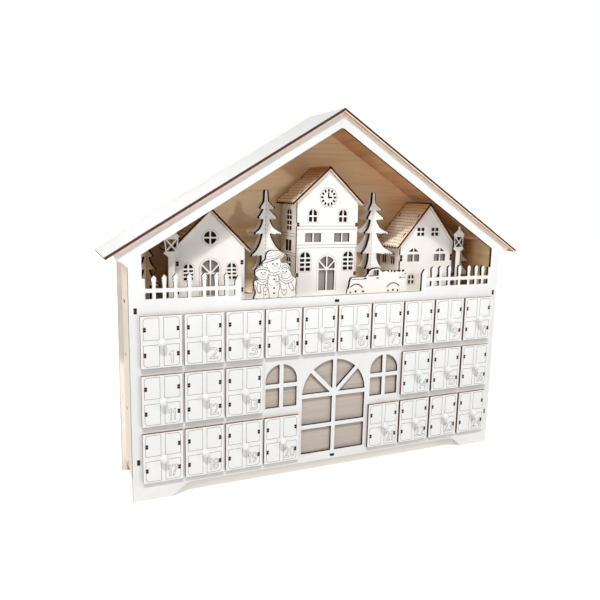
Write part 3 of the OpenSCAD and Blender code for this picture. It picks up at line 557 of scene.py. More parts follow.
def evaluated(data):
    """Mesh of a curve or text, and the curve is removed."""
    holder = bpy.data.objects.new("holder", data)
    bpy.context.scene.collection.objects.link(holder)
    mesh = bpy.data.meshes.new_from_object(holder.evaluated_get(bpy.context.evaluated_depsgraph_get()))
    bpy.data.objects.remove(holder)
    bpy.data.curves.remove(data)
    return mesh


def arrays(mesh):
    """Points, corners and corner counts of a mesh."""
    points = np.empty(len(mesh.vertices) * 3)
    loops = np.empty(len(mesh.loops), int)
    sizes = np.empty(len(mesh.polygons), int)
    mesh.vertices.foreach_get("co", points)
    mesh.loops.foreach_get("vertex_index", loops)
    mesh.polygons.foreach_get("loop_total", sizes)
    return points.reshape(-1, 3), loops, sizes


def add(name, body, parts, finishes, smooth=False):
    """One piece of the object from its parts, in metres, riding on its body."""
    whole = joined(parts)
    mesh = bpy.data.meshes.new(name)
    mesh.vertices.add(len(whole.points))
    mesh.vertices.foreach_set("co", (whole.points * MM).ravel())
    mesh.loops.add(len(whole.loops))
    mesh.loops.foreach_set("vertex_index", whole.loops)
    mesh.polygons.add(len(whole.sizes))
    mesh.polygons.foreach_set("loop_start", np.cumsum(whole.sizes) - whole.sizes)
    mesh.polygons.foreach_set("loop_total", whole.sizes)
    mesh.polygons.foreach_set("material_index", whole.finish)
    mesh.polygons.foreach_set("use_smooth", np.full(len(whole.sizes), smooth))
    for finish in finishes:
        mesh.materials.append(finish)
    mesh.update(calc_edges=True)
    mesh.validate()
    piece = bpy.data.objects.new(name, mesh)
    bpy.context.scene.collection.objects.link(piece)
    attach(piece, body)
    return piece


# Lines and outlines


def arc(x, z, radius, start, end, steps):
    """Points of an arc between two angles in degrees."""
    angle = np.radians(np.linspace(start, end, steps))
    return np.stack([x + radius * np.cos(angle), z + radius * np.sin(angle)], -1)


def circle(x, z, radius, steps):
    """Points of a whole circle."""
    return arc(x, z, radius, 0, 360 * (1 - 1 / steps), steps)


def ring_line(x, z, radius, width, finish=0):
    """Closed round line."""
    return strip(circle(x, z, radius, 40), width, closed=True, finish=finish)


def dot(x, z, radius):
    """Round pad of char."""
    return pad(circle(x, z, radius, 14), finish=1)


def bar(x0, z0, x1, z1, width, finish=0):
    """Straight line from one point to another."""
    return strip([(x0, z0), (x1, z1)], width, finish=finish)


def curved(points, closed=False, steps=6):
    """Smooth curve through points: between two of them, the cubic whose slopes at its ends are half of the
    step from the point before to the point after."""
    p = np.asarray(points, float)
    before = np.roll(p, 1, 0)
    after = np.roll(p, -1, 0)
    if not closed:
        before[0], after[-1] = p[0], p[-1]
    slope = (after - before) / 2
    start, end = (p, after) if closed else (p[:-1], p[1:])
    slope_start = slope if closed else slope[:-1]
    slope_end = np.roll(slope, -1, 0) if closed else slope[1:]
    t = np.linspace(0, 1, steps, endpoint=False)[None, :, None]
    curve = ((2 * t ** 3 - 3 * t ** 2 + 1) * start[:, None] + (t ** 3 - 2 * t ** 2 + t) * slope_start[:, None]
             + (3 * t ** 2 - 2 * t ** 3) * end[:, None] + (t ** 3 - t ** 2) * slope_end[:, None])
    curve = curve.reshape(-1, 2)
    return curve if closed else np.vstack([curve, p[-1]])


def glyph(figure):
    """Outlines of a plain digit in a box of 1 by 1: the 1 is a bar with a flag, the others are text."""
    if figure == "1":
        return [np.array([(0.42, 0), (0.86, 0), (0.86, 1), (0.5, 1), (0.04, 0.8), (0.04, 0.62),
                          (0.42, 0.76)])]
    text = bpy.data.curves.new("digits", "FONT")
    text.body = figure
    text.fill_mode = "NONE"
    text.resolution_u = 4
    mesh = evaluated(text)
    points, _, _ = arrays(mesh)
    edges = np.empty(len(mesh.edges) * 2, int)
    mesh.edges.foreach_get("vertices", edges)
    bpy.data.meshes.remove(mesh)
    edges = np.sort(edges.reshape(-1, 2), 1)
    closing = edges[edges[:, 1] - edges[:, 0] > 1]
    low, high = points.min(0)[:2], points.max(0)[:2]
    flat = (points[:, :2] - low) / (high - low)
    return [flat[a:b + 1] for a, b in closing]


# Drawers: places and sizes are measured from the middle of the front plate

panel_in = 2.1
panel_out = 16.3
upper_panel = (2.1, 22.6)
lower_panel = (-22.7, -2.7)
panel_round = 3.2
line_width = 0.34
wall_middle = 15.25
tab_middle = 11.9
tab_size = (2.7, 4.2)
tab_char = 0.42
number_place = (9.0, -14.5)
digit_h = 11.0
digit_gap = 0.9
wide_digit = 8.2
narrow_digit = 4.6
pair_share = 0.66
knob_radius = 3.8
neck_radius = 1.9
neck_sink = 0.2
ball_depth = 3.75
ball_end = 0.05


def number_lines(number, x, z):
    """Outlines of a number's digits side by side, centred at x, z. Two digits are narrower than one."""
    figures = str(number)
    widths = np.array([narrow_digit if f == "1" else wide_digit for f in figures])
    widths *= 1.0 if len(figures) == 1 else pair_share
    left = x - (widths.sum() + digit_gap * (len(figures) - 1)) / 2
    lines = []
    for figure, width in zip(figures, widths):
        lines += [loop * (width, digit_h) + (left, z - digit_h / 2) for loop in glyph(figure)]
        left += width + digit_gap
    return lines


def door_panel(side, low, high, round_top):
    """Engraved rectangle whose outer corner, at the top or the bottom, is a quarter circle."""
    inner, outer, r = panel_in, panel_out, panel_round
    if round_top:
        path = [[(inner, low), (outer, low)], arc(outer - r, high - r, r, 0, 90, 7), [(inner, high)]]
    else:
        path = [[(inner, high), (inner, low)], arc(outer - r, low + r, r, -90, 0, 7), [(outer, high)]]
    return strip(np.vstack(path) * (side, 1), line_width, closed=True)


def tab_end(x, z, width, height, dark=0, middle=1):
    """End of a tab: char above and below a paler middle."""
    half, burn = width / 2, height * tab_char
    corner = np.array([(-half, 0), (half, 0), (half, 1), (-half, 1)], float)
    bottom, top = z - height / 2, z + height / 2
    return [pad(corner * (1, burn) + (x, bottom), rise=0.03, finish=dark),
            pad(corner * (1, height - 2 * burn) + (x, bottom + burn), rise=0.02, finish=middle),
            pad(corner * (1, burn) + (x, top - burn), rise=0.03, finish=dark)]


def knob():
    """Turned knob: a neck, then a ball, whose radius at each height is that of its circle."""
    angle = np.linspace(math.asin(neck_radius / knob_radius), math.pi - ball_end, 20)
    radii = np.concatenate([[neck_radius], knob_radius * np.sin(angle)])
    heights = np.concatenate([[-neck_sink], knob_out - ball_depth - knob_radius * np.cos(angle)])
    return lathe(radii, heights)


def dress_drawer(name):
    """Engraving of four door panels and a number, tab ends and knob of one drawer."""
    low, high = corners(name)
    plane = front_plane((low[0] + high[0]) / 2, low[1] + knob_out, (low[2] + high[2]) / 2)
    number = int(name.split("_")[1])
    lines = [door_panel(side, *upper_panel, True) for side in (-1, 1)]
    lines += [door_panel(side, *lower_panel, False) for side in (-1, 1)]
    lines += [strip(loop, line_width, closed=True) for loop in number_lines(number, *number_place)]
    ends = [p for s in (-1, 1) for t in (-1, 1) for p in tab_end(s * wall_middle, t * tab_middle, *tab_size)]
    add(name + "_engraving", name, plane.lay(lines), [line_char])
    add(name + "_tab_ends", name, plane.lay(ends), [char_black, tab_middle_tone])
    add(name + "_knob", name, plane.lay([knob()]), [knob_paint], smooth=True)


for name in DRAWERS:
    dress_drawer(name)

# Trees

# Each bough: start, middle of the tip and root, as shares of reach and height, how hollow it is, and teeth
tall_fir = [(0.15, 0.893, 0.416, 0.832, 0.2, 0.8205, 0.06, 0),
            (0.2, 0.8195, 0.53, 0.744, 0.222, 0.727, 0.08, 0),
            (0.214, 0.7255, 0.767, 0.6, 0.237, 0.597, 0.3, 2),
            (0.237, 0.5965, 1.0, 0.399, 0.3, 0.392, 0.26, 3),
            (0.3, 0.345, 0.557, 0.243, 0.21, 0.235, 0.2, 1)]
small_fir = [(0.17, 0.9, 0.36, 0.845, 0.22, 0.83, 0.06, 0),
             (0.22, 0.82, 0.5, 0.715, 0.25, 0.695, 0.1, 0),
             (0.25, 0.69, 0.72, 0.515, 0.28, 0.5, 0.25, 1),
             (0.28, 0.49, 1.0, 0.262, 0.3, 0.25, 0.25, 2)]
fir_top = [(1.6, 0), (2.3, -0.5), (2.8, -1.5), (3.1, -4), (3.4, -8)]
fir_turn = 51.5
tooth = 2.8
tooth_h = 1.2
tip_r = 1.15
# Short lines beside the crossing of the boards: distance from it, length and width
stitch = (1.5, 2.2, 0.22)
stitch_step = 4.0
stitch_foot = 4.0
stitch_top = 8.0


def bough(shares, reach, height):
    """One bough from the trunk out and back. Its upper edge is the quadratic curve to the tip, pulled
    below the straight line by the hollow; its tip is half a circle; the teeth under it are sine lobes."""
    x0, z0, x1, z1, x2, z2 = (np.reshape(shares[:6], (3, 2)) * (reach, height)).ravel()
    hollow, teeth = shares[6], shares[7]
    centre = np.array([x1 - tip_r, z1])
    t = np.linspace(0, 1, 8)[:, None]
    end = centre + (0.25 * tip_r, 0.97 * tip_r)
    knee = (np.array([x0, z0]) + end) / 2 + hollow * np.array([x0 - end[0], end[1] - z0])
    top = (1 - t) ** 2 * (x0, z0) + 2 * t * (1 - t) * knee + t ** 2 * end
    tip = arc(*centre, tip_r, 60, -75, 6)
    u = np.linspace(0, teeth * tooth, teeth * 6 + 1)[1:]
    lobes = tooth_h * np.abs(np.sin(math.pi * u / tooth))
    under = np.stack([centre[0] - u, centre[1] - tip_r + lobes], -1)
    return np.vstack([top, tip, under, [(x2, z2)]])


def fir_outline(boughs, reach, height, foot):
    """Outline of a fir board: blunt top, its boughs from the top down, and the trunk, on both sides."""
    top = np.array(fir_top) + (0, height)
    half = np.vstack([top] + [bough(b, reach, height) for b in boughs] + [[(foot * reach, 0)]])
    return np.vstack([half, half[::-1] * (-1, 1)])


def fir(node, boughs, foot, reach, paint):
    """Fir of two boards that cross at its axis, with short burnt lines beside the crossing."""
    low, high = corners(node)
    height = high[2] - stage_z
    aside, tall, width = stitch
    parts, seams = [], []
    for angle in (-fir_turn, 90 - fir_turn):
        along = (math.cos(math.radians(angle)), math.sin(math.radians(angle)), 0)
        out = (along[1], -along[0], 0)
        axis = np.array(((low[0] + high[0]) / 2, (low[1] + high[1]) / 2, stage_z))
        plane = Plane(axis + np.array(out) * village_board / 2, along, (0, 0, 1), out)
        parts.append(plane.place(flat_board([fir_outline(boughs, reach, height, foot)])))
        seams += plane.lay([bar(side * aside, z, side * aside, z + tall, width)
                            for z in np.arange(stitch_foot, height - stitch_top, stitch_step)
                            for side in (-1, 1)])
    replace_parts(add(node + "_boards", HOUSE, parts, [paint, char_black]), node)
    add(node + "_seam", HOUSE, seams, [line_char])


for side in ("left", "right"):
    fir("tree_" + side, tall_fir, 0.21, 26.2, tree_paint)
    fir("tree_far_" + side, small_fir, 0.28, 16.0, far_tree_paint)

# Village roofs: scallops and shingles, tab ends, the front edge's veneer and the rear edge's char with
# painted shade

roof_pitches = {"cottage_left": math.radians(45), "town_hall": math.radians(42.3),
                "cottage_right": math.radians(50)}
scallop = 5.2
scallop_h = 1.5
shingle_row = 4.2
shingle = 4.4
shingle_reach = 1.5
shingle_sag = 0.7
shingle_line_width = 0.6
roof_tab = (2.0, 5.0)
front_tab = 5.0
rear_tab = 6.0
upper_tab = 0.3
lower_tab = 0.72
veneer_inset = 2.25
veneer_width = 0.5
veneer_end = 1.6
rake_width = 0.9
rake_inset = 0.5
rake_end = 2.0


def roof_slab(length, slope):
    """Board with a scalloped eave: its edge lies at the slope less the drop of each lobe, a sine's arc."""
    count = round(length / scallop)
    along = np.linspace(0, length, count * 6 + 1)
    lobes = slope - scallop_h * (1 - np.abs(np.sin(math.pi * along * count / length)))
    return flat_board([np.vstack([[(0, 0)], np.stack([along, lobes], -1), [(length, 0)]])])


def shingle_lines(length, slope):
    """Rows of burnt shingle ends, staggered: each end is the arc of a parabola with a gap beside it."""
    count = round(length / shingle)
    t = np.linspace(-1, 1, 5)
    return [strip(np.stack([(n + 0.5 + 0.5 * (row % 2)) * length / count + shingle_reach * t,
                            row * shingle_row - shingle_sag * t ** 2], -1), shingle_line_width)
            for row in range(1, int((slope - 1.5) / shingle_row) + 1) for n in range(count - row % 2)]


def village_roof(house):
    """Two slabs of a village roof with their shingles, tab ends, the veneer in their front edges and, along
    their rear ones, a dark strip of char and painted shade."""
    node = house + "_roof"
    low, high = corners(node)
    x, half, ridge = (low[0] + high[0]) / 2, (high[0] - low[0]) / 2, high[2]
    pitch = roof_pitches[house]
    length, slope = high[1] - low[1], half / math.cos(pitch)
    inset, reach = veneer_inset / math.cos(pitch), half - veneer_end
    rake = length - rake_inset
    front = front_plane(x, low[1], ridge)
    corner = np.array([(-1, -1), (1, -1), (1, 1), (-1, 1)]) * roof_tab / 2
    slabs, lines = [], []
    for side in (-1, 1):
        down = (side * math.cos(pitch), 0, -math.sin(pitch))
        out = (side * math.sin(pitch), 0, math.cos(pitch))
        plane = Plane((x, low[1], ridge), (0, 1, 0), down, out)
        tabs = [pad(corner + (u, slope * share), finish=1)
                for u in (front_tab, length - rear_tab) for share in (upper_tab, lower_tab)]
        # Burnt rear edge with painted shade: a dark strip on top along the rear edge
        char_and_shade = strip([(rake, rake_inset), (rake, slope - rake_end)], rake_width, finish=1)
        foot = (side * reach, -inset - reach * math.tan(pitch))
        slabs += plane.lay([roof_slab(length, slope), *tabs, char_and_shade])
        slabs.append(front.place(strip([(0, -inset), foot], veneer_width, finish=2)))
        lines += plane.lay(shingle_lines(length, slope))
    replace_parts(add(node + "_boards", HOUSE, slabs, [slope_paint(node), roof_edge, veneer]), node)
    add(node + "_shingles", HOUSE, lines, [shingle_line])


for house in roof_pitches:
    village_roof(house)

# Engraving on the village fronts

middles = {"cottage_left": -126, "town_hall": 0, "cottage_right": 126}
ridges = {"cottage_left": 91.0, "town_hall": 134.3, "cottage_right": 99.0}
fine = 0.4
gable_line = 0.5
gable_half = 33.5
clock_line = 0.42
clock_mark = 2.0
clock_hand = 1.7
village_tab = 2.9
sill_drop = 1.0
foot_drop = 0.4
door_spring = 0.64
# Place and size of the dark card of painted shade behind each village front
shade_depth = 6.5
shade_inset = 2.7
shade_below_ridge = 5.5
shade_foot = 0.3
shade_thick = 0.6
# The number that a part gives as its finish stands for one of these
FRONT_LINES = [line_char, char_black, pale_line, tab_middle_tone]


def arch_surround(x, z, width, height, gap=1.2):
    """Engraved line round an arched opening: two uprights joined by a half circle, and a sill below."""
    r = width / 2 + gap
    foot, sill = z - foot_drop, z - sill_drop
    path = np.vstack([[(x - r, foot)], arc(x, z + height - width / 2, r, 180, 0, 15), [(x + r, foot)]])
    return [strip(path, fine, finish=2), bar(x - r, sill, x + r, sill, fine, finish=2)]


def door_surround(z, width, height, gap):
    """Engraved line round a door with a flat arch: the arch is the circle through its three points."""
    half, top, rise = width / 2 + gap, z + height + gap, height * (1 - door_spring)
    r = rise / 2 + half ** 2 / (2 * rise)
    reach = math.degrees(math.asin(min(1.0, half / r)))
    path = [[(-half, z - 1)], arc(0, top - r, r, 90 + reach, 90 - reach, 13), [(half, z - 1)]]
    return strip(np.vstack(path), fine, finish=2)


def clock(x, z):
    """Clock: a ring, twelve marks and two hands that show three."""
    angle = np.radians(30 * np.arange(12))
    marks = [bar(x + 5.8 * c, z + 5.8 * s, x + 8.7 * c, z + 8.7 * s, clock_mark, finish=1)
             for c, s in zip(np.cos(angle), np.sin(angle))]
    return [ring_line(x, z, 9.8, clock_line), *marks,
            bar(x, z - clock_hand / 2, x, z + 5.2, clock_hand, finish=1),
            bar(x - clock_hand / 2, z, x + 4.2, z, clock_hand, finish=1)]


def dress_front(house, parts, tab_heights, tab_height):
    """A village front's engraving, with the lines under its roof and its side walls' tab ends, and a dark
    card a little behind it, from wall to wall and up to the roof: painted shade for what shows through its
    windows."""
    x, ridge, pitch = middles[house], ridges[house], roof_pitches[house]
    low, high = corners(house + "_sides")
    drop = (village_board + gable_line) / math.cos(pitch)
    parts += [bar(0, ridge - drop, side * gable_half, ridge - drop - gable_half * math.tan(pitch), gable_line)
              for side in (-1, 1)]
    parts += [p for u in (low[0] + village_board / 2, high[0] - village_board / 2) for z in tab_heights
              for p in tab_end(u - x, z, village_tab, tab_height, dark=1, middle=3)]
    add(house + "_engraving", HOUSE, front_plane(x, village_face_y, stage_z).lay(parts), FRONT_LINES)
    # The dark card of painted shade, behind the front
    half = (high[0] - low[0]) / 2 - shade_inset
    top = ridge - shade_below_ridge / math.cos(pitch)
    eaves = top - half * math.tan(pitch)
    outline = [(-half, shade_foot), (half, shade_foot), (half, eaves), (0, top), (-half, eaves)]
    behind = front_plane(x, village_face_y + shade_depth, stage_z)
    add(house + "_shade", HOUSE, behind.lay([pad(outline, rise=0, sink=shade_thick)]), [painted_shade_card])


hall_lines = clock(0, 102.5) + [door_surround(5.5, 18.6, 36.0, 2.0)]
hall_lines += [bar(-34.4, z, 34.4, z, fine) for z in (73.0, 69.8, 53.5, 50.5)]
left_lines = [ring_line(0, 61.8, 8.0, fine, finish=2), door_surround(5.5, 17.6, 35.0, 1.8)]
right_lines = []
for side in (-1, 1):
    hall_lines += arch_surround(side * 25.1, 26.5, 11.6, 19.8)
    hall_lines += arch_surround(side * 17.4, 77.5, 9.0, 12.5, 1.3)
    hall_lines.append(bar(side * 33.6, 3, side * 33.6, 50.5, fine))
    left_lines += arch_surround(side * 21.7, 21.0, 9.2, 15.8)
    right_lines += arch_surround(side * 19.5, 8.5, 7.2, 10.5, 1.0)
dress_front("town_hall", hall_lines, (22.5, 74.5), 4.0)
dress_front("cottage_left", left_lines, (10.0, 37.3), 4.4)
dress_front("cottage_right", right_lines, (10.0, 37.5), 7.0)

# Windows in the village's side walls

pane_gap = 1.3
band_start = 3.0
band_end = 0.4


def pane_grid(x, z, width, height, rows, arched):
    """Dark panes in two columns; in an arched window the top pair are quarter discs."""
    half = (width - pane_gap) / 2
    top = half if arched else 0.0
    tall = (height - top - pane_gap * (rows - (0 if arched else 1))) / rows
    parts = []
    for side in (-1, 1):
        a, b = x + side * pane_gap / 2, x + side * width / 2
        for low in z + np.arange(rows) * (tall + pane_gap):
            parts.append(pad([(a, low), (b, low), (b, low + tall), (a, low + tall)], finish=1))
        if arched:
            low = z + rows * (tall + pane_gap)
            quarter = arc(0, 0, half, 0, 90, 6) * (side, 1) + (a, low)
            parts.append(pad(np.vstack([[(a, low)], quarter]), finish=1))
    return parts


def dress_walls(node, windows, lines):
    """Windows and bands on both side walls of a village house."""
    low, high = corners(node)
    for side, label, face in ((-1, "left", low[0]), (1, "right", high[0])):
        plane = Plane((face, 0, stage_z), (0, 1, 0), (0, 0, 1), (side, 0, 0))
        parts = [bar(village_face_y + band_start, z, high[1] - band_end, z, fine) for z in lines]
        for y, z, width, height, rows, arched in windows:
            parts += pane_grid(y, z, width, height, rows, arched)
            parts += arch_surround(y, z, width, height) if arched else []
        add(node + "_windows_" + label, HOUSE, plane.lay(parts), FRONT_LINES)


hall_windows = [(13.0, 68.0, 12.0, 22.0, 3, True), (14.2, 46.2, 15.0, 11.6, 1, False),
                (13.0, 20.0, 12.0, 20.0, 3, True)]
cottage_windows = [(y, 29.5, 7.0, 13.0, 1, True) for y in (7.7, 25.7)]
dress_walls("town_hall_sides", hall_windows, (64.5, 61.5, 44.5, 41.5))
dress_walls("cottage_right_sides", cottage_windows, ())
dress_walls("cottage_left_sides", cottage_windows, ())

# Snow figures

figure_line = 0.52
fold_line = 0.35
rim_line = 0.6
rib_step = 1.7
thread = 1.8


def lines_through(paths, width=figure_line, finish=0, closed=False):
    """Smooth engraved lines of one width."""
    return [strip(curved(path, closed), width, closed=closed, finish=finish) for path in paths]


def folds(paths):
    """Thin paler lines, as of folds in cloth."""
    return lines_through(paths, fold_line, 2)


def snow_outline():
    """Outline of the three figures side by side, through given points."""
    return curved([(22.4, 0), (22.8, 5), (22.3, 11), (22.9, 17), (22.4, 21.4), (20.2, 23.2), (17.4, 25.8),
                   (16.5, 29.4), (15.7, 33), (13.6, 36.4), (10.4, 38.3), (7.6, 38.0), (5.9, 38.9),
                   (6.4, 41.4), (9.4, 44.4), (10.7, 46.5), (8.6, 47.4), (5.2, 49.3), (0.2, 50.4),
                   (-6.2, 50.2), (-9.7, 47.8), (-10.8, 44.6), (-11.2, 41.6), (-13.4, 39.5), (-15.4, 37.3),
                   (-14.2, 35.9), (-16.8, 35.8), (-20, 33.6), (-21.9, 30), (-21.6, 26), (-19.9, 22.9),
                   (-18.9, 21.6), (-22.2, 21.0), (-23, 17.6), (-22.4, 12.6), (-21, 8.8), (-22.6, 4.6),
                   (-22.9, 0)], steps=4)


def face(x, z, scale, turn):
    """Two eyes, a pointed nose and a mouth of five dots on an arc, turned to one side."""
    x += turn * scale
    parts = [dot(x + side * 2.1 * scale, z + 1.9 * scale, 0.85 * scale) for side in (-1, 1)]
    back, tip = x - 0.9 * turn * scale, x + 3.4 * turn * scale
    nose = [(back, z + 0.9 * scale), (tip, z - 0.3 * scale), (back, z - 0.8 * scale)]
    angle = np.radians(np.arange(210, 331, 30))
    mouth = zip(x + 3.1 * scale * np.cos(angle), z - 0.6 * scale + 2.6 * scale * np.sin(angle))
    return [*parts, strip(nose, figure_line * 0.8, closed=True), *(dot(u, v, 0.42 * scale) for u, v in mouth)]


def fringe(x0, z0, x1, z1, count):
    """Hem of a scarf's end and its threads, spaced evenly along it."""
    ends = np.array([x0, z0]) + np.outer((np.arange(count) + 0.5) / count, (x1 - x0, z1 - z0))
    threads = [bar(x, z, x + 0.2, z - thread, fold_line, 2) for x, z in ends]
    return [bar(x0, z0, x1, z1, figure_line), *threads]


def ribs(x0, x1, middle, low, high, fall, lean):
    """Short lines across the rim of a cap, which lie lower away from the rim's middle."""
    return [bar(x, low - fall * abs(x - middle), x + lean, high - fall * abs(x - middle), fold_line, 2)
            for x in np.arange(x0, x1, rib_step)]


def middle_figure():
    """The tall figure: soft hat with a wide brim and a band, face, scarf, buttons and folded arms."""
    parts = lines_through([[(-15.2, 37.4), (-9, 38.4), (-2, 40.4), (4.5, 43.2), (10.2, 46.3)]], rim_line)
    parts += lines_through([[(-11, 41.4), (-5, 41.8), (0.6, 43.2), (5.0, 45.2), (7.4, 47.2)],
                            [(-8.8, 38.6), (-9.5, 35), (-8.3, 31.6), (-6.2, 29.6)],
                            [(4.6, 42.6), (5.4, 38), (4.7, 33.6), (2.7, 30.6)],
                            [(-8, 29.8), (-2, 27.8), (4.4, 29.6)], [(-8.2, 27.0), (-2, 24.8), (4.6, 26.8)],
                            [(-6.8, 25.4), (-8.2, 20), (-8.0, 13), (-6.6, 6.6), (-6.6, 1)],
                            [(3.2, 25.2), (4.6, 20), (4.4, 13), (3.2, 6.6), (3.4, 1)]])
    parts += lines_through([[(2.2, 25.8), (3.6, 22.4), (3.2, 19)], [(-0.6, 25.2), (0.6, 22), (0.4, 19)]], 0.4)
    parts += folds([[(-11.1, 43.7), (-5.2, 44.3), (0.4, 45.7), (5.6, 48.2)],
                    [(-7.6, 46.2), (-4.6, 48.4), (-1, 49.0)], [(-2.4, 46.4), (1.2, 48.4)],
                    [(-9.4, 39.4), (-4, 40.4), (2, 42.6)], [(-7, 28.4), (-5.4, 26.6)],
                    [(-3, 27.6), (-2.2, 25.4)], [(1, 28.0), (1.6, 25.8)],
                    [(-7.6, 17.6), (-4.6, 15.4), (-2.8, 15.8)], [(4.4, 17.4), (2, 15.2), (0.4, 15.8)],
                    [(-6.6, 3.4), (-1.6, 2.2), (3.2, 3.4)]])
    buttons = [dot(-1.4, z, 1.0) for z in (21.4, 12.6, 7.4)]
    return parts + face(-2.0, 34.8, 1.05, 1) + buttons + fringe(0.4, 19, 3.2, 19, 3)


def left_figure():
    """The left figure: knitted cap with a ribbed rim, face, scarf with a fringed end, mitten and coat."""
    parts = lines_through([[(-21.5, 28.6), (-17.6, 31.2), (-12.6, 31.4), (-8.9, 30.0)],
                           [(-21.8, 31), (-17.2, 33.7), (-12.4, 33.9), (-9.3, 32.8)],
                           [(-20.2, 25.4), (-17, 22.2), (-12.4, 21.4), (-8.8, 23), (-8.0, 26.8)],
                           [(-19.4, 22.2), (-14.4, 18.9), (-8.4, 20.6)],
                           [(-20.8, 20.4), (-14.6, 16.3), (-7.9, 18)],
                           [(-18.4, 18.4), (-19.4, 13.4), (-18.6, 9.2)],
                           [(-15.4, 16.8), (-15.8, 12.4), (-15, 8.6)],
                           [(-22.6, 17), (-20.8, 15), (-20.4, 11)]])
    parts += folds([[(-17.4, 34.2), (-16.2, 35.4)], [(-12.8, 34.3), (-12.6, 35.6)],
                    [(-13, 18.4), (-12.4, 16.6)], [(-10.4, 19.4), (-9.8, 17.4)],
                    [(-22.2, 3.6), (-15, 2.0), (-7, 3.2)], [(-12.2, 15.6), (-12.6, 10), (-12.0, 3)]])
    mitten = [(-12.6, 12.6), (-10.4, 13.8), (-8.6, 12), (-9.4, 9.8), (-11.8, 9.4)]
    parts += lines_through([mitten], 0.45, closed=True) + ribs(-19.6, -9.4, -14.6, 31.0, 33.2, 0.12, 0.2)
    buttons = [dot(-10.4, z, 0.8) for z in (15.6, 6.4)]
    return parts + face(-14.0, 26.6, 0.9, 1) + buttons + fringe(-18.6, 9.2, -15, 8.6, 4)


def right_figure():
    """The right figure: cap pulled down to one side, face, scarf with a fringed end, and a heart below."""
    parts = lines_through([[(5.9, 33.2), (9.4, 35.4), (13.2, 33.8), (15.9, 30.2)],
                           [(5.8, 30.8), (9.8, 32.9), (13.8, 31.2), (16.6, 27.6)],
                           [(5.4, 28.8), (6.2, 24.6), (9.2, 22), (13.2, 22), (16.6, 25)],
                           [(5.2, 23.6), (9.2, 19.8), (14.6, 19.6), (18.6, 22.8)],
                           [(4.8, 21), (9.4, 17.2), (15, 17.2), (20, 20.8)],
                           [(13.6, 17.2), (15.2, 12.8), (17.4, 9.4)],
                           [(17, 18.4), (18.6, 14.4), (20.4, 11.2)],
                           [(5.8, 16.6), (5.6, 12.4), (7.2, 10.4)]])
    parts += folds([[(7.4, 36.4), (10, 36.8), (12.8, 35.2)], [(9.6, 19), (10, 17.4)],
                    [(13.2, 19.2), (13.6, 17.4)], [(3.8, 3.2), (12, 2.0), (22.2, 3.8)],
                    [(21.8, 17.8), (21.6, 12), (22.0, 6)], [(10.6, 16), (12.2, 13.6), (12.6, 11)]])
    heart = [(9.6, 5.0), (7.0, 8.0), (7.3, 10.2), (8.7, 10.6), (9.6, 9.4), (10.5, 10.6), (11.9, 10.2),
             (12.2, 8.0)]
    parts += lines_through([heart], 0.5, closed=True) + ribs(6.6, 15, 9.4, 31.6, 34.0, 0.2, 0.3)
    return parts + face(10.4, 27.2, 0.9, -1) + fringe(17.4, 9.4, 20.4, 11.2, 4)


plane = front_plane((figures_low[0] + figures_high[0]) / 2 + 0.5, figures_low[1], stage_z)
trio = add("snow_figures_board", HOUSE, plane.lay([flat_board([snow_outline()])]), [tree_paint, char_black])
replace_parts(trio, "snow_figures")
engraving = middle_figure() + left_figure() + right_figure() + [strip(snow_outline(), rim_line, aside=-0.32)]
add("snow_figures_engraving", HOUSE, plane.lay(engraving), [dark_line, char_black, line_char])

# Pickup truck

wheels = [(3.8, 4.4, 1.0), (10, 5.3, 1.3), (18.4, 5.1, 0.9), (19.9, 5.0, 0.9), (50, 4.5, 1.15),
          (56.2, 5.1, 1.3), (61.9, 4.5, 1.15)]
needle_runs = [(0, 5), (7, 12), (14, 18), (19, 24), (26, 31), (33, 38)]


def load_top():
    """Top of the load: eight needled bumps, each the arc of a sine."""
    u = np.linspace(0, 1, 41)
    bump = np.abs(np.sin(8 * math.pi * u))
    return np.stack([42 + 29.6 * u, 25.4 + 1.3 * bump + 0.4 * np.sin(7 * u)], -1)


def cab_top():
    """The cab from the windscreen's foot over its roof to its rear."""
    return curved([(22.2, 20.6), (23.8, 23.0), (25.2, 26.4), (27.6, 28.7), (31, 29.6), (36, 30), (39.2, 29.2),
                   (41.0, 27.2), (41.8, 25.4)])


def bonnet():
    """The truck's nose and the top of its bonnet."""
    return curved([(0.9, 8.6), (1.9, 12), (2.3, 15.2), (3.0, 18.4), (4.6, 20.2), (9, 20.6), (15, 20.8),
                   (22.2, 20.6)])


def truck_outline():
    """Outline of the truck from its bumper over the bonnet, the cab and the load to the tail and back."""
    tail = [(72.6, 25), (71.4, 23.4), (72.9, 21.4), (72.9, 8.6), (74, 8.2), (74, 4.4), (71.6, 3.4), (70.8, 0)]
    return np.vstack([[(3.0, 0), (2.6, 2.6), (0, 3.2), (0, 7.0)], bonnet(), cab_top()[1:], load_top(), tail])


def truck_window():
    """Side window of the cab."""
    front = curved([(25.6, 21.6), (26.8, 24.6), (28.8, 26.8), (31.4, 27.5)])
    return np.vstack([front, [(34.6, 27.5), (34.6, 21.6)]])


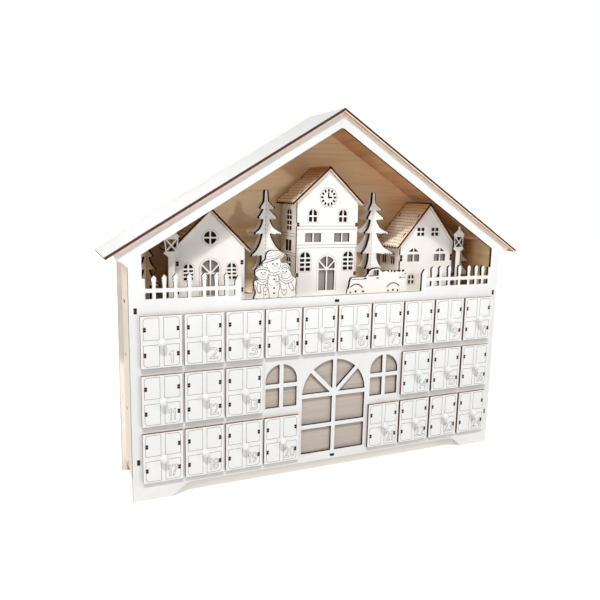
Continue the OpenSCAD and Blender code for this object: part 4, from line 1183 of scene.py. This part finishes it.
def truck_engraving():
    """Wheel arches, what shows of the wheels, cab, handle, bonnet and the needles of the load."""
    needles = load_top() - (0, 0.55)
    parts = [strip(arc(10.4, 4.0, 9.0, 30, 138, 20), 1.15, finish=1),
             strip(arc(56.3, 3.6, 9.2, 35, 149, 20), 1.15, finish=1)]
    parts += [dot(*wheel) for wheel in wheels]
    parts += [strip(needles[start:end], 1.2, finish=1) for start, end in needle_runs]
    parts += [strip(cab_top()[6:46], 1.1, finish=1, aside=0.57), bar(24.8, 21.1, 37.4, 21.1, 0.6),
              pad([(34.9, 21.5), (37.5, 21.5), (37.5, 27.6), (34.9, 27.6)], finish=1),
              bar(4.4, 18.3, 19.4, 18.2, 0.65), bar(19.2, 18.6, 23.0, 18.6, 1.4, finish=1),
              strip(bonnet()[2:], 0.5, aside=0.27), strip(bonnet()[:26], 0.7, finish=1, aside=0.37),
              bar(34.8, 18.7, 37.9, 18.7, 1.3, finish=1), bar(70.2, 23.0, 71.8, 22.2, 1.2, finish=1),
              bar(67.4, 21.2, 69.4, 21.2, 0.6), bar(63.4, 18.5, 65.9, 18.5, 1.2, finish=1),
              bar(65.8, 18.5, 71.8, 18.5, 0.6)]
    return parts


plane = front_plane(truck_low[0], truck_low[1], stage_z)
truck = add("pickup_truck_board", HOUSE, plane.lay([flat_board([truck_outline(), truck_window()])]),
            [tree_paint, char_black])
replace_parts(truck, "pickup_truck")
add("pickup_truck_engraving", HOUSE, plane.lay(truck_engraving()), [dark_line, char_black])

# Camera, world, lights and floor, in metres

white = (1.0, 1.0, 1.0, 1.0)
floor_grey = (0.9, 0.9, 0.9, 1.0)
floor_half = 4.0
# How far the camera's view of the floor is lifted near the object and away from it: distance, strength
floor_lift_near = (0.25, 0.47)
floor_lift_far = (0.9, 1.0)


def show(name, data, place=None):
    """Puts new data into the scene as an object, at a place."""
    holder = bpy.data.objects.new(name, data)
    if place:
        holder.matrix_world = place
    bpy.context.scene.collection.objects.link(holder)
    return holder


def camera(eye, yaw, pitch, roll, lens):
    """A camera at a place in metres, turned by yaw from +Y to +X, by pitch downwards and by roll, all in
    degrees."""
    yaw, pitch, roll = (math.radians(a) for a in (yaw, pitch, roll))
    ahead = Vector((math.sin(yaw) * math.cos(pitch), math.cos(yaw) * math.cos(pitch), -math.sin(pitch)))
    side = ahead.cross(Vector((0, 0, 1))).normalized()
    top = side.cross(ahead)
    right = math.cos(roll) * side + math.sin(roll) * top
    up = math.cos(roll) * top - math.sin(roll) * side
    data = bpy.data.cameras.new("camera")
    data.lens = lens
    data.sensor_width = 36.0
    place = Matrix.Translation(eye) @ Matrix((right, up, -ahead)).transposed().to_4x4()
    bpy.context.scene.camera = show("camera", data, place)


def lamp(name, azimuth, elevation, distance, size, power, spread=180.0, aim=(0.0, 0.0, 0.19), tall=None):
    """A soft light that faces its aim, its azimuth from -Y towards +X, with a beam of spread degrees."""
    turn, rise = math.radians(azimuth), math.radians(elevation)
    away = Vector((math.sin(turn) * math.cos(rise), -math.cos(turn) * math.cos(rise), math.sin(rise)))
    data = bpy.data.lights.new(name, "AREA")
    data.shape = "RECTANGLE"
    data.size = size
    data.size_y = tall or size
    data.energy = power
    data.spread = math.radians(spread)
    facing = (-away).to_track_quat("-Z", "Y").to_matrix().to_4x4()
    show(name, data, Matrix.Translation(Vector(aim) + away * distance) @ facing)


def new_nodes(block, *kinds):
    """Empties a material or world of its nodes and makes new ones of these kinds."""
    block.use_nodes = True
    block.node_tree.nodes.clear()
    return [block.node_tree.nodes.new("ShaderNode" + kind) for kind in kinds]


def wire(block, *pairs):
    """Links each output to an input."""
    for source, goal in pairs:
        block.node_tree.links.new(source, goal)


def white_world(strength):
    """White sky: plain white for the camera, softer for the light that falls on the object."""
    world = bpy.data.worlds.new("white_world")
    bpy.context.scene.world = world
    rays, seen, light, mix, output = new_nodes(world, "LightPath", "Background", "Background", "MixShader",
                                               "OutputWorld")
    for background, power in ((seen, 1.0), (light, strength)):
        background.inputs[0].default_value = white
        background.inputs[1].default_value = power
    wire(world, (rays.outputs["Is Camera Ray"], mix.inputs[0]), (light.outputs[0], mix.inputs[1]),
         (seen.outputs[0], mix.inputs[2]), (mix.outputs[0], output.inputs[0]))


def floor():
    """A white floor that shows the object's shadow: the camera sees it brighter than it is, and more so
    away from the object."""
    material = bpy.data.materials.new("floor_white")
    matt, glow, place, reach, lift, rays, unlit, pick, both, output = new_nodes(
        material, "BsdfDiffuse", "Emission", "TexCoord", "VectorMath", "MapRange", "LightPath", "Emission",
        "MixShader", "AddShader", "OutputMaterial")
    matt.inputs[0].default_value = floor_grey
    unlit.inputs[1].default_value = 0.0
    reach.operation = "LENGTH"
    for end, (distance, strength) in (("Min", floor_lift_near), ("Max", floor_lift_far)):
        lift.inputs["From " + end].default_value = distance
        lift.inputs["To " + end].default_value = strength
    wire(material, (place.outputs["Object"], reach.inputs[0]),
         (reach.outputs["Value"], lift.inputs["Value"]), (lift.outputs[0], glow.inputs[1]),
         (rays.outputs["Is Camera Ray"], pick.inputs[0]), (unlit.outputs[0], pick.inputs[1]),
         (glow.outputs[0], pick.inputs[2]), (matt.outputs[0], both.inputs[0]),
         (pick.outputs[0], both.inputs[1]), (both.outputs[0], output.inputs[0]))
    square = np.array([(-1, -1, 0), (1, -1, 0), (1, 1, 0), (-1, 1, 0)]) * floor_half
    mesh = bpy.data.meshes.new("floor")
    mesh.from_pydata(square.tolist(), [], [(0, 1, 2, 3)])
    mesh.materials.append(material)
    show("floor", mesh)


camera(Vector((-0.28543, -0.58348, 0.28877)), yaw=23.926, pitch=9.732, roll=1.319, lens=36.70)
lamp("key", -20.0, 54.0, 4.0, 0.14, 92.0)
lamp("left_front", -48.0, 24.0, 3.0, 0.7, 6.0)
lamp("left_high", -103.0, 26.0, 1.8, 0.9, 7.5)
lamp("right_front", 33.0, 24.0, 1.8, 0.12, 5.2)
lamp("gable", -61.0, 8.0, 1.2, 0.3, 0.06, spread=12.0, aim=(-0.06, 0.01, 0.25), tall=0.06)
white_world(0.23)
floor()
bpy.context.scene.view_settings.view_transform = "Standard"
